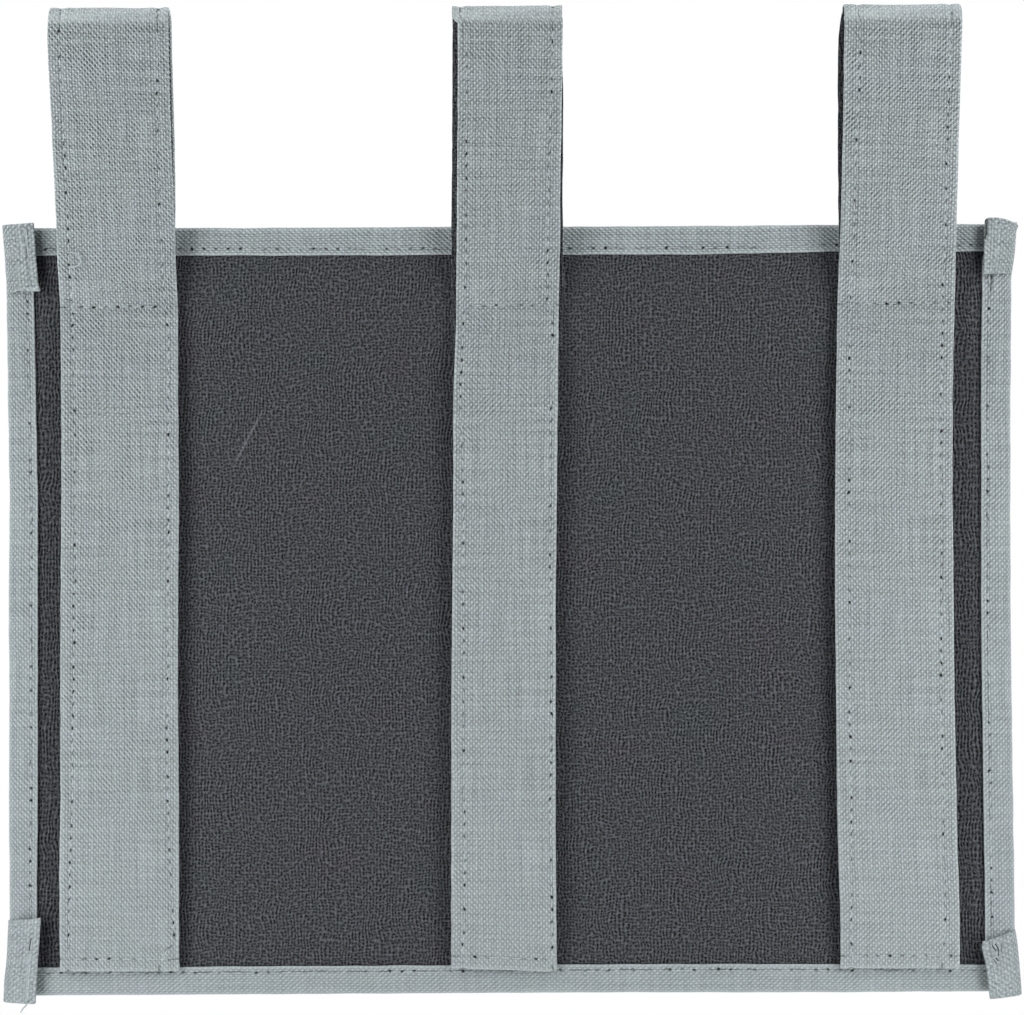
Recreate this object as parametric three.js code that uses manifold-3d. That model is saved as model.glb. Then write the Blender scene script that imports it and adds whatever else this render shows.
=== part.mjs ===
// A bedside caddy that hangs from a bed rail: a coated cloth panel, bound on all four sides,
// with pockets on one side, and with three sewn straps on the other side whose tops are loops.
// Millimetres, +Z up as it hangs. The strap side faces -Y, and left and right are as seen from there.
// The origin is the place inside the top of the middle loop where the rail bears.
// Each strap is one hemmed strip. Its loop bends at the seam across it, so the strip is made as
// a strap, which is sewn to the panel, and a loop, which turns about that seam.
import * as THREE from "three";
import { mergeVertices } from "three/addons/utils/BufferGeometryUtils.js";
import Module from "manifold-3d";

// Layers of cloth that lie on each other
const layerGap = 0.3;
const cutOverrun = 1;

// Back panel, as cut
const panelWidth = 311.6;
const panelHeight = 238.2;
const panelThickness = 0.8;

// Binding tape, folded over the edges
const tapeThickness = 0.6;
const tapeLeg = 8.8;
const sideTapeReach = 2.2;

// Turned back ends of the side bindings
const tabProud = 1.3;
const tabLeg = 11.2;
const topLeftTab = 21.5;
const topRightTab = 19;
const bottomLeftTab = 27;
const bottomRightTab = 20;

// Straps: hemmed strips, sewn on by a seam near the bottom and a seam across them near the top
const strapThickness = 1.2;
const outerStrapWidth = 36.2;
const middleStrapWidth = 31.9;
const leftStrapInset = 34.1;
const middleStrapPlace = -1.4;
const rightStrapInset = 35.6;
const strapBottom = 6.6;
const strapProud = 3;
const crossSeamDrop = 25;
const rawEndLength = 13.8;
const bottomEase = 22;
const seamEase = 24;

// Loops
const loopRise = 88.6;
const loopLean = THREE.MathUtils.degToRad(16.5);
const backLegLean = THREE.MathUtils.degToRad(19);
const foldRadius = 4.8;
const backLegStraight = 27;
const backLegBow = 18;
const pinchHeight = 2;
const foldSteps = 10;
const backLegSteps = 8;

// Main pocket: one sheet across the whole panel, which stands open at its mouth
const pocketThickness = 0.6;
const mainPocketHeight = 190;
const mainPocketBulge = 10;
const mainPocketRamp = 32;
const rampSteps = 5;
const plateauSteps = 8;
const mainRiseSteps = 10;

// Small pockets: three in a row on the main pocket, each a front on a pleated gusset
const smallPocketSideMargin = 10.9;
const smallPocketSpacing = 8;
const smallPocketHeight = 110;
const smallPocketBottom = 17;
const smallPocketDepth = 18;
const smallPocketCorner = 10;
const smallPocketCrown = 2.4;
const gussetPleat = 4;
const frontSteps = 10;
const frontRiseSteps = 8;
const cornerSteps = 3;
const gussetSteps = 44;
const gussetDepthSteps = 4;

// Finishes
const greyCloth = { color: 0x98a1a4, roughness: 0.82, metalness: 0 };
const greyTape = { color: 0x9fa8ab, roughness: 0.8, metalness: 0 };
const darkCoating = { color: 0x45474b, roughness: 0.55, metalness: 0 };

// Places that follow from the sizes. The panel's strap side is at y = 0 and its lower edge at z = 0.
const tapeWrap = layerGap + tapeThickness;
const panelTop = panelHeight + tapeWrap;
const panelBottom = -tapeWrap;
const panelSide = panelWidth / 2 + tapeWrap;
const sideTapeEdge = panelSide - tapeLeg;
const pocketRoom = tapeWrap + layerGap;
const pocketFoot = panelThickness + pocketRoom;
const strapSideOfTape = -tapeWrap;
const pocketSideOfTape = pocketFoot + pocketThickness + tapeWrap;
const leftStrapPlace = leftStrapInset - panelWidth / 2;
const rightStrapPlace = panelWidth / 2 - rightStrapInset;
const crossSeam = panelTop - crossSeamDrop;

const wasm = await Module();
wasm.setup();

function solidOf(geometry) {
  const bare = geometry.clone();
  bare.deleteAttribute("normal");
  bare.deleteAttribute("uv");
  const merged = mergeVertices(bare);
  const triVerts = new Uint32Array(merged.index.array);
  const vertProperties = merged.attributes.position.array;
  return new wasm.Manifold(new wasm.Mesh({ numProp: 3, vertProperties, triVerts }));
}

function geometryOf(solid) {
  const mesh = solid.getMesh();
  const geometry = new THREE.BufferGeometry();
  geometry.setAttribute("position", new THREE.BufferAttribute(mesh.vertProperties, 3));
  geometry.setIndex(new THREE.BufferAttribute(mesh.triVerts, 1));
  const flat = geometry.toNonIndexed();
  flat.computeVertexNormals();
  return flat;
}

function joined(...geometries) {
  return geometryOf(geometries.map(solidOf).reduce((whole, next) => whole.add(next)));
}

function cut(geometry, cutter) {
  return geometryOf(solidOf(geometry).subtract(solidOf(cutter)));
}

// A box between two corners
function block([x0, y0, z0], [x1, y1, z1]) {
  const box = new THREE.BoxGeometry(x1 - x0, y1 - y0, z1 - z0);
  return box.translate((x0 + x1) / 2, (y0 + y1) / 2, (z0 + z1) / 2);
}

// An outline in the YZ plane, drawn out along X to both sides of a place
function acrossX(outline, place, width) {
  const shape = new THREE.Shape(outline);
  const geometry = new THREE.ExtrudeGeometry(shape, { depth: width, bevelEnabled: false });
  const axes = new THREE.Matrix4().makeBasis(
    new THREE.Vector3(0, 1, 0),
    new THREE.Vector3(0, 0, 1),
    new THREE.Vector3(1, 0, 0),
  );
  return geometry.applyMatrix4(axes).translate(place - width / 2, 0, 0);
}

// The side step at a point of an open path, so that both neighbours of the point are cleared alike
function sideStep(path, i) {
  const here = path[i];
  const before = here.clone().sub(path[Math.max(i - 1, 0)]);
  const after = path[Math.min(i + 1, path.length - 1)].clone().sub(here);
  const a = (before.length() > 0 ? before : after).clone().normalize();
  const b = (after.length() > 0 ? after : before).clone().normalize();
  const normal = new THREE.Vector2(-a.y - b.y, a.x + b.x).normalize();
  return normal.divideScalar(normal.dot(new THREE.Vector2(-b.y, b.x)));
}

// The outline of a strip of cloth seen on edge, with half its thickness on each side of a path
function strip(path, thickness) {
  const sides = path.map((point, i) => sideStep(path, i).multiplyScalar(thickness / 2));
  const left = path.map((point, i) => point.clone().add(sides[i]));
  const right = path.map((point, i) => point.clone().sub(sides[i]));
  return [...right, ...left.reverse()];
}

// A sheet of cloth: a thin box whose grid is laid through place(along, up, through), each from 0 to 1
function sheet(alongSteps, upSteps, place) {
  const box = new THREE.BoxGeometry(1, 1, 1, alongSteps, 1, upSteps);
  const positions = box.attributes.position;
  const point = new THREE.Vector3();
  for (let i = 0; i < positions.count; i++) {
    point.fromBufferAttribute(positions, i).addScalar(1 / 2);
    positions.setXYZ(i, ...place(point.x, point.z, point.y));
  }
  return box;
}

// The value at a share of the way along a list of stations
function station(list, share) {
  return list[Math.round(share * (list.length - 1))];
}

// Even steps from one value to another, the first value left out
function evenSteps(from, to, count) {
  return Array.from({ length: count }, (_, i) => from + ((to - from) * (i + 1)) / count);
}

function smooth(share) {
  const held = THREE.MathUtils.clamp(share, 0, 1);
  return held * held * (3 - 2 * held);
}

const caddy = new THREE.Group();

function add(name, geometry, finish) {
  const mesh = new THREE.Mesh(geometry, new THREE.MeshStandardMaterial(finish));
  mesh.name = name;
  caddy.add(mesh);
}

// Back panel
add(
  "back_panel",
  block([-panelWidth / 2, 0, 0], [panelWidth / 2, panelThickness, panelHeight]),
  darkCoating,
);

// Binding along the top or bottom edge: a channel whose fold is at edge and whose legs go inwards
function edgeBinding(edge, inwards, pocketFace) {
  const low = Math.min(edge, edge + inwards * tapeLeg);
  const high = Math.max(edge, edge + inwards * tapeLeg);
  const inner = edge + inwards * tapeThickness;
  const outer = edge + inwards * (tapeLeg + cutOverrun);
  const whole = block([-panelWidth / 2, strapSideOfTape, low], [panelWidth / 2, pocketFace, high]);
  const slot = block(
    [-panelWidth / 2 - cutOverrun, strapSideOfTape + tapeThickness, Math.min(inner, outer)],
    [panelWidth / 2 + cutOverrun, pocketFace - tapeThickness, Math.max(inner, outer)],
  );
  return cut(whole, slot);
}

add("top_binding", edgeBinding(panelTop, -1, panelThickness + tapeWrap), greyTape);
add("bottom_binding", edgeBinding(panelBottom, 1, pocketSideOfTape), greyTape);

// Side bindings: channels over the panel's sides and over the ends of the other two bindings,
// whose own ends are turned back outwards into a second layer
const sideSlotStrapSide = strapSideOfTape - layerGap;
const sideSlotPocketSide = pocketSideOfTape + layerGap;
const sideLow = panelBottom - sideTapeReach;
const sideHigh = panelTop + sideTapeReach;

function sideBinding(side, topTab, bottomTab) {
  const layer = (reach, leg, thickness, low, high) => {
    const xs = [side * (panelSide + reach), side * (panelSide + reach - leg)];
    return block(
      [Math.min(...xs), sideSlotStrapSide - thickness, low],
      [Math.max(...xs), sideSlotPocketSide + thickness, high],
    );
  };
  const whole = joined(
    layer(0, tapeLeg, tapeThickness, sideLow, sideHigh),
    layer(tabProud, tabLeg, 2 * tapeThickness, sideHigh - topTab, sideHigh),
    layer(tabProud, tabLeg, 2 * tapeThickness, sideLow, sideLow + bottomTab),
  );
  const slotXs = [side * (panelSide - tapeThickness), 0];
  const slot = block(
    [Math.min(...slotXs), sideSlotStrapSide, sideLow - cutOverrun],
    [Math.max(...slotXs), sideSlotPocketSide, sideHigh + cutOverrun],
  );
  return cut(whole, slot);
}

add("left_binding", sideBinding(-1, topLeftTab, bottomLeftTab), greyTape);
add("right_binding", sideBinding(1, topRightTab, bottomRightTab), greyTape);

// The strap, seen on edge: it leaves the bottom seam, stands proud of the panel, and comes back to
// the seam across it, where the raw end of the loop's back leg is sewn in behind it
const rawEndFace = -layerGap;
const rawEndMiddle = rawEndFace - strapThickness / 2;
const seamMiddle = rawEndMiddle - strapThickness - layerGap;
const hingeFace = seamMiddle - strapThickness / 2;
const proudMiddle = -strapProud - strapThickness / 2;
const strapTop = crossSeam - layerGap / 2;
const strapPath = [
  new THREE.Vector2(strapSideOfTape - layerGap - strapThickness / 2, strapBottom),
  new THREE.Vector2(strapSideOfTape - layerGap - strapThickness / 2, tapeLeg - tapeWrap),
  new THREE.Vector2(proudMiddle, strapBottom + bottomEase),
  new THREE.Vector2(proudMiddle, crossSeam - seamEase),
  new THREE.Vector2(seamMiddle, crossSeam - pinchHeight),
  new THREE.Vector2(seamMiddle, strapTop),
];
const rawEndPath = [
  new THREE.Vector2(rawEndMiddle, crossSeam - rawEndLength),
  new THREE.Vector2(rawEndMiddle, strapTop),
];

// The loop, seen on edge: up the leaning front leg, round the fold, and down the back leg, which
// lies along the panel's top binding before it comes to the seam
const foldMiddle = loopRise - foldRadius - strapThickness / 2;
const frontLegLength = (foldMiddle - foldRadius * Math.sin(loopLean)) / Math.cos(loopLean);
const foldY =
  seamMiddle - frontLegLength * Math.sin(loopLean) + foldRadius * Math.cos(loopLean);
const foldZ = crossSeam + foldMiddle;
const backLegY = strapSideOfTape - layerGap - strapThickness / 2;
const backLegFoot = crossSeam + backLegStraight;
const loopBottom = crossSeam + layerGap / 2;

function loopPath() {
  const fold = Array.from({ length: foldSteps + 1 }, (_, i) => {
    const angle = Math.PI + loopLean - ((Math.PI + loopLean - backLegLean) * i) / foldSteps;
    const place = new THREE.Vector2(Math.cos(angle), Math.sin(angle));
    return place.multiplyScalar(foldRadius).add(new THREE.Vector2(foldY, foldZ));
  });
  const leaving = fold[foldSteps];
  const backLeg = new THREE.CubicBezierCurve(
    leaving,
    new THREE.Vector2(Math.sin(backLegLean), -Math.cos(backLegLean))
      .multiplyScalar(backLegBow)
      .add(leaving),
    new THREE.Vector2(backLegY, backLegFoot + backLegBow),
    new THREE.Vector2(backLegY, backLegFoot),
  );
  return [
    new THREE.Vector2(seamMiddle, loopBottom),
    ...fold,
    ...backLeg.getPoints(backLegSteps).slice(1),
    new THREE.Vector2(backLegY, panelTop - tapeLeg - layerGap),
    new THREE.Vector2(rawEndMiddle, crossSeam + pinchHeight),
    new THREE.Vector2(rawEndMiddle, loopBottom),
  ];
}

// The stretch beside the seam where the two layers of the strap are sewn to each other
function pinch(place, width, low, high) {
  return block([place - width / 2, hingeFace, low], [place + width / 2, rawEndFace, high]);
}

const straps = [
  ["left", leftStrapPlace, outerStrapWidth],
  ["middle", middleStrapPlace, middleStrapWidth],
  ["right", rightStrapPlace, outerStrapWidth],
];
for (const [name, place, width] of straps) {
  const strap = joined(
    acrossX(strip(strapPath, strapThickness), place, width),
    acrossX(strip(rawEndPath, strapThickness), place, width),
    pinch(place, width, crossSeam - pinchHeight, strapTop),
  );
  add(name + "_strap", strap, greyCloth);
  const loop = joined(
    acrossX(strip(loopPath(), strapThickness), place, width),
    pinch(place, width, loopBottom, crossSeam + pinchHeight),
  );
  add(name + "_loop", loop, greyCloth);
}

// How far the main pocket's sheet stands off its seams at a place
const mainRampStart = sideTapeEdge - layerGap;
const mainRiseStart = panelBottom + tapeLeg + layerGap;

function mainPocketFace(x, z) {
  const acrossShare = smooth((mainRampStart - Math.abs(x)) / mainPocketRamp);
  const riseShare = THREE.MathUtils.clamp(
    (z - mainRiseStart) / (mainPocketHeight - mainRiseStart),
    0,
    1,
  );
  return pocketFoot + mainPocketBulge * acrossShare * Math.sin((riseShare * Math.PI) / 2);
}

// Stations across the main pocket, from its middle outwards, and then both ways
const rampEnd = mainRampStart - mainPocketRamp;
const halfStations = [
  ...evenSteps(0, rampEnd, plateauSteps / 2),
  ...evenSteps(rampEnd, mainRampStart, rampSteps),
  panelWidth / 2,
];
const mainXs = [...halfStations.map((x) => -x).reverse(), 0, ...halfStations];
const mainZs = [0, mainRiseStart, ...evenSteps(mainRiseStart, mainPocketHeight, mainRiseSteps)];
add(
  "main_pocket",
  sheet(mainXs.length - 1, mainZs.length - 1, (along, up, through) => {
    const x = station(mainXs, along);
    const z = station(mainZs, up);
    return [x, mainPocketFace(x, z) + through * pocketThickness, z];
  }),
  greyCloth,
);

// Tape folded over a pocket's mouth: face(x, z) is the pocket side's inner face
function mouthBinding(xs, mouth, face) {
  const layer = (stations, margin, low, high) =>
    sheet(stations.length - 1, 1, (along, up, through) => {
      const x = station(stations, along);
      const z = low + up * (high - low);
      return [x, face(x, z) - margin + through * (pocketThickness + 2 * margin), z];
    });
  const low = mouth + tapeWrap - tapeLeg;
  const longer = [xs[0] - cutOverrun, ...xs.slice(1, -1), xs[xs.length - 1] + cutOverrun];
  return cut(
    layer(xs, tapeWrap, low, mouth + tapeWrap),
    layer(longer, layerGap, low - cutOverrun, mouth + layerGap),
  );
}

add("main_pocket_binding", mouthBinding(mainXs, mainPocketHeight, mainPocketFace), greyTape);

// Small pockets, each with its place in the row
const smallPockets = [
  ["left", -1],
  ["middle", 0],
  ["right", 1],
];
const pocketRowWidth = 2 * (sideTapeEdge - smallPocketSideMargin);
const smallPocketPitch = (pocketRowWidth + smallPocketSpacing) / smallPockets.length;
const smallPocketWidth = smallPocketPitch - smallPocketSpacing;
const smallPocketTop = smallPocketBottom + smallPocketHeight;
const gussetFront = pocketThickness + layerGap + smallPocketDepth;

function smallPocketHalfWidth(z) {
  const above = Math.min(z - smallPocketBottom, smallPocketCorner);
  const short = smallPocketCorner - above;
  const corner = Math.sqrt(smallPocketCorner ** 2 - short ** 2);
  return smallPocketWidth / 2 - smallPocketCorner + corner;
}

function smallPocketFace(centre, x, z) {
  const acrossShare = 1 - ((2 * (x - centre)) / smallPocketWidth) ** 2;
  const riseShare = (z - smallPocketBottom) / smallPocketHeight;
  const crown = smallPocketCrown * acrossShare * Math.sin((riseShare * Math.PI) / 2);
  return mainPocketFace(x, z) + gussetFront + layerGap + crown;
}

// The gusset's course: down one side, round the bottom and up the other side
function gussetCourse(centre) {
  const half = smallPocketWidth / 2;
  const corner = smallPocketCorner;
  const left = centre - half;
  const right = centre + half;
  const turn = smallPocketBottom + corner;
  const course = new THREE.Path();
  course.moveTo(left, smallPocketTop);
  course.lineTo(left, turn);
  course.absarc(left + corner, turn, corner, Math.PI, (3 * Math.PI) / 2, false);
  course.lineTo(right - corner, smallPocketBottom);
  course.absarc(right - corner, turn, corner, (3 * Math.PI) / 2, 2 * Math.PI, false);
  course.lineTo(right, smallPocketTop);
  return course.getSpacedPoints(gussetSteps);
}

function gusset(centre) {
  const course = gussetCourse(centre);
  const inwards = course.map((point, i) => sideStep(course, i));
  return sheet(gussetDepthSteps, gussetSteps, (deep, along, through) => {
    const pleat = gussetPleat * (1 - Math.abs(2 * deep - 1));
    const inset = pleat + through * pocketThickness;
    const place = station(inwards, along).clone().multiplyScalar(inset);
    place.add(station(course, along));
    const foot = mainPocketFace(place.x, place.y) + pocketThickness + layerGap;
    return [place.x, foot + deep * smallPocketDepth, place.y];
  });
}

function pocketFront(centre) {
  const turn = smallPocketBottom + smallPocketCorner;
  const zs = [
    smallPocketBottom,
    ...evenSteps(smallPocketBottom, turn, cornerSteps),
    ...evenSteps(turn, smallPocketTop, frontRiseSteps),
  ];
  return sheet(frontSteps, zs.length - 1, (along, up, through) => {
    const z = station(zs, up);
    const x = centre + (2 * along - 1) * smallPocketHalfWidth(z);
    return [x, smallPocketFace(centre, x, z) + through * pocketThickness, z];
  });
}

const pleatAtTape = (2 * gussetPleat * tapeThickness) / smallPocketDepth;
const mouthHalf = smallPocketWidth / 2 - pocketThickness - layerGap - pleatAtTape;
for (const [name, place] of smallPockets) {
  const centre = place * smallPocketPitch;
  const xs = [centre - mouthHalf, ...evenSteps(centre - mouthHalf, centre + mouthHalf, frontSteps)];
  const face = (x, z) => smallPocketFace(centre, x, z);
  add(name + "_pocket_gusset", gusset(centre), greyCloth);
  add(name + "_pocket_front", pocketFront(centre), greyCloth);
  add(name + "_pocket_binding", mouthBinding(xs, smallPocketTop, face), greyTape);
}

// The rail bears on the inside of the middle loop's fold
caddy.position.set(-middleStrapPlace, -foldY, -(foldZ + foldRadius - strapThickness / 2));

export default caddy;
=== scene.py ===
# A bedside caddy of grey woven cloth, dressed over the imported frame: a panel with a dark coated back,
# folded tape round its four edges, three hemmed straps whose tops are loops, and pockets on the far side.
# Lengths are written in millimetres in the panel's own frame, as a maker would measure the cloth:
# x = 0 at the panel's middle, y = 0 at its strap side (which faces -y), z = 0 at its lower edge.
import math

import bmesh
import bpy
from mathutils import Matrix, Vector, noise


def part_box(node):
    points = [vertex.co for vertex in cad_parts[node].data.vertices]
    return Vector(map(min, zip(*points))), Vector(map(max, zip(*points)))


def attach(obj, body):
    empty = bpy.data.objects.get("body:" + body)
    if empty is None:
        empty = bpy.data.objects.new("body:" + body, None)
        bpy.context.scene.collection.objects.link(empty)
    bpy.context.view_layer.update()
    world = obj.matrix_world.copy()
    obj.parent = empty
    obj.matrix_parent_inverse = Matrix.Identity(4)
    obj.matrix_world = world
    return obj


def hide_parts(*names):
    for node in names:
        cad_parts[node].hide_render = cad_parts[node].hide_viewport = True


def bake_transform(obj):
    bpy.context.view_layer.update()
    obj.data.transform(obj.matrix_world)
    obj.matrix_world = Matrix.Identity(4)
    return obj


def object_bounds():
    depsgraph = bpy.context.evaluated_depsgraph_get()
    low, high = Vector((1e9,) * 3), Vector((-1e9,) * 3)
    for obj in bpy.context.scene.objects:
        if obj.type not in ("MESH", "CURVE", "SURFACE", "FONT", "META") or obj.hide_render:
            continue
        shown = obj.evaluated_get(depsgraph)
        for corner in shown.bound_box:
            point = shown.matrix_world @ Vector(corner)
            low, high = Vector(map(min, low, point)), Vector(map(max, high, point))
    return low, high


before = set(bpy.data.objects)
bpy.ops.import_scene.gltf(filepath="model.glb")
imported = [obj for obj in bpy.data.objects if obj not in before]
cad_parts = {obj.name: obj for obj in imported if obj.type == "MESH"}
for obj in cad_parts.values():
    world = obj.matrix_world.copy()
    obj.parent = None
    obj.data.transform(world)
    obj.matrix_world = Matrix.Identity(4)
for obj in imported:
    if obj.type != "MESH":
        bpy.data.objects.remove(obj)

cad_low, cad_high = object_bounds()
panel_low, panel_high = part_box("back_panel")
PANEL_ORIGIN = Vector(((panel_low.x + panel_high.x) / 2, panel_low.y, panel_low.z))

# The panel and the cloth's thicknesses. A ply is one layer of cloth
PANEL_HALF = 155.8
PANEL_HEIGHT = 238.2
PANEL_PLY = 0.8
CLOTH_PLY = 0.5
TAPE_PLY = 0.3
HEM_RADIUS = 0.28
# How far apart the threads lie, in the wide cloth and in the tape
WARP, WEFT = 0.8, 0.865
TAPE_WARP, TAPE_WEFT = 0.755, 0.866
# Binding tape: how far a leg covers, its seam and its raw flap in from the leg's edge, its hem's bend, and
# how deep the folded tape is over the panel's sides, its top, its bottom and a pocket's mouth
TAPE_LEG = 8.6
TAPE_SEAM = 1.9
TAPE_FLAP = 5
TAPE_HEM_RADIUS = 0.16
TAPE_STEP = 0.62
SIDE_DEPTH, TOP_DEPTH, BOTTOM_DEPTH, MOUTH_DEPTH = 5.9, 2.3, 4.1, 2.3
# Stitching: holes are a stitch apart, and cloth is laid on a grid that meets them. Each seam counts its
# stitches from a place of its own, far from the others, so that no two have the same holes
STITCH = 3.8
ROWS_TO_A_STITCH = 4
GRID = STITCH / ROWS_TO_A_STITCH
SEAMS_APART = 380
NO_SEAM = 90
THREAD_RADIUS = 0.19
# How high the two seams across each strap are
CROSS_SEAM = 214.1
BOTTOM_SEAM = 10.5
# The coating: how far out its side bays start, and the scuff on it
SIDE_BAY = 121.0
SCUFF_FROM = (-76.4, 182.9, 0)
SCUFF_TURN = math.radians(-117.9)
SCUFF_LENGTH = 21.9


def placed(x, y, z):
    """A place of the panel's frame, in millimetres, in the row's frame, in metres."""
    return PANEL_ORIGIN + Vector((x, y, z)) / 1000


def smooth(low, high, value):
    """0 at low, 1 at high, and an even curve between."""
    share = min(max((value - low) / (high - low), 0), 1)
    return share * share * (3 - 2 * share)


def from_table(table, place):
    """The value at a place, straight between the rows of a table whose places rise."""
    if place <= table[0][0]:
        return table[0][1]
    for (low, at_low), (high, at_high) in zip(table, table[1:]):
        if place <= high:
            return at_low + (at_high - at_low) * (place - low) / (high - low)
    return table[-1][1]


def ripple(across, along, size, seed):
    """Soft unevenness from -1 to 1, whose hollows are about size apart."""
    return noise.noise(Vector((across / size, along / size, seed)))


def mound(distance, width):
    """1 at no distance, fading to nothing over a few widths."""
    return math.exp(-((distance / width) ** 2))


def even_steps(start, end, step):
    """Places from start to end, spaced evenly and about step apart."""
    count = max(1, round(abs(end - start) / step))
    return [start + (end - start) * i / count for i in range(count + 1)]


# Colours and finishes


def linear(hexadecimal):
    """An sRGB colour as the shader needs it."""
    channels = [int(hexadecimal[i : i + 2], 16) / 255 for i in (0, 2, 4)]
    return [c / 12.92 if c <= 0.04045 else ((c + 0.055) / 1.055) ** 2.4 for c in channels] + [1]


def node(tree, kind, links=(), **settings):
    """Adds a node to a finish. links pairs its inputs with values, nodes or other nodes' outputs."""
    made = tree.nodes.new(kind)
    for name, value in settings.items():
        setattr(made, name, value)
    for socket, value in dict(links).items():
        if isinstance(value, bpy.types.Node):
            value = next(output for output in value.outputs if output.enabled)
        if isinstance(value, bpy.types.NodeSocket):
            tree.links.new(value, made.inputs[socket])
        else:
            made.inputs[socket].default_value = value
    return made


def finish(name, roughness, sheen, gloss):
    """A new material, whose shader gives its one roughness, its fibre sheen and its gloss."""
    material = bpy.data.materials.new(name)
    material.use_nodes = True
    shader = material.node_tree.nodes["Principled BSDF"]
    shader.inputs["Roughness"].default_value = roughness
    shader.inputs["Sheen Weight"].default_value = sheen
    shader.inputs["Sheen Roughness"].default_value = 0.4
    shader.inputs["Specular IOR Level"].default_value = gloss
    return material


def needle_hole_shade(tree):
    """Painted shade in the needle's holes and the thin cracks between them along a seam, each from 0 to 1.
    The stitches map holds the place along the nearest seam and the distance from it, in millimetres."""
    stitches = node(tree, "ShaderNodeUVMap", uv_map="stitches")
    split = node(tree, "ShaderNodeSeparateXYZ", {0: stitches})
    lengthwise = node(tree, "ShaderNodeVectorMath", {0: stitches, 1: (0.42, 0.25, 0)}, operation="MULTIPLY")
    uneven = node(tree, "ShaderNodeTexNoise", {"Vector": lengthwise, "Scale": 1.0, "Detail": 1.0})
    strays = node(tree, "ShaderNodeMath", {0: uneven, 1: 1.7, 2: -0.85}, operation="MULTIPLY_ADD")
    off = node(tree, "ShaderNodeMath", {0: split.outputs[1], 1: strays}, operation="ADD")
    counted = node(tree, "ShaderNodeMath", {0: split.outputs[0], 1: STITCH}, operation="DIVIDE")
    nearest = node(tree, "ShaderNodeMath", {0: counted}, operation="ROUND")
    past = node(tree, "ShaderNodeMath", {0: counted, 1: nearest}, operation="SUBTRACT")
    past_mm = node(tree, "ShaderNodeMath", {0: past, 1: STITCH * 0.7}, operation="MULTIPLY")
    from_hole = node(tree, "ShaderNodeCombineXYZ", {0: past_mm, 1: off})
    away = node(tree, "ShaderNodeVectorMath", {0: from_hole}, operation="LENGTH")
    chance = node(tree, "ShaderNodeTexWhiteNoise", {"W": nearest}, noise_dimensions="1D")
    open_wide = node(
        tree,
        "ShaderNodeMapRange",
        {"Value": chance.outputs[0], "From Min": 0.3, "From Max": 0.85, "To Min": 0.1},
    )
    hole = node(
        tree,
        "ShaderNodeMapRange",
        {"Value": away, "From Min": 0.56, "From Max": 0.18},
        interpolation_type="SMOOTHSTEP",
    )
    hole_shade = node(tree, "ShaderNodeMath", {0: hole, 1: open_wide}, operation="MULTIPLY")
    beside = node(tree, "ShaderNodeMath", {0: off}, operation="ABSOLUTE")
    crack = node(
        tree,
        "ShaderNodeMapRange",
        {"Value": beside, "From Min": 0.36, "From Max": 0.1},
        interpolation_type="SMOOTHSTEP",
    )
    apart = node(
        tree,
        "ShaderNodeMapRange",
        {"Value": uneven.outputs["Color"], "From Min": 0.43, "From Max": 0.55, "To Max": 0.5},
    )
    crack_shade = node(tree, "ShaderNodeMath", {0: crack, 1: apart}, operation="MULTIPLY")
    return hole_shade, crack_shade


def tinted(tree, shade, deep, crown, patches_apart, cool, warm):
    """The colour between a deep and a crown tone, in broad patches some cooler and some warmer."""
    colour = node(
        tree,
        "ShaderNodeMix",
        {0: shade, 6: linear(deep), 7: linear(crown)},
        data_type="RGBA",
    )
    threads = node(tree, "ShaderNodeUVMap", uv_map="threads")
    patches = node(
        tree, "ShaderNodeTexNoise", {"Vector": threads, "Scale": 1 / patches_apart, "Detail": 2.0}
    )
    tint = node(
        tree,
        "ShaderNodeMix",
        {0: patches.outputs[0], 6: (*cool, 1), 7: (*warm, 1)},
        data_type="RGBA",
    )
    return node(
        tree, "ShaderNodeMix", {0: 1.0, 6: colour, 7: tint}, data_type="RGBA", blend_type="MULTIPLY"
    )


def wandering(tree, *sizes):
    """The cloth's own thread lengths, led astray. Each size is (how far apart, how far), in millimetres."""
    threads = node(tree, "ShaderNodeUVMap", uv_map="threads")
    led = threads
    for apart, reach in sizes:
        wander = node(tree, "ShaderNodeTexNoise", {"Vector": threads, "Scale": 1 / apart, "Detail": 1.0})
        led = node(
            tree,
            "ShaderNodeVectorMath",
            {0: wander.outputs["Color"], 1: (4 * reach, 4 * reach, 0), 2: led},
            operation="MULTIPLY_ADD",
        )
    return led


# How strongly a weave's floats, warp ridges and weft rows show, in its colour and in its relief
FLOAT_SHADE, RIDGE_SHADE, ROW_SHADE = 0.33, 0.36, 0.18
FLOAT_RELIEF, RIDGE_RELIEF, ROW_RELIEF = 0.5, 0.35, 0.15
# The dark colour painted into needle holes, seam cracks and creases as the shade that falls in them
PAINTED_SHADE_COLOUR = "16191b"


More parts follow.
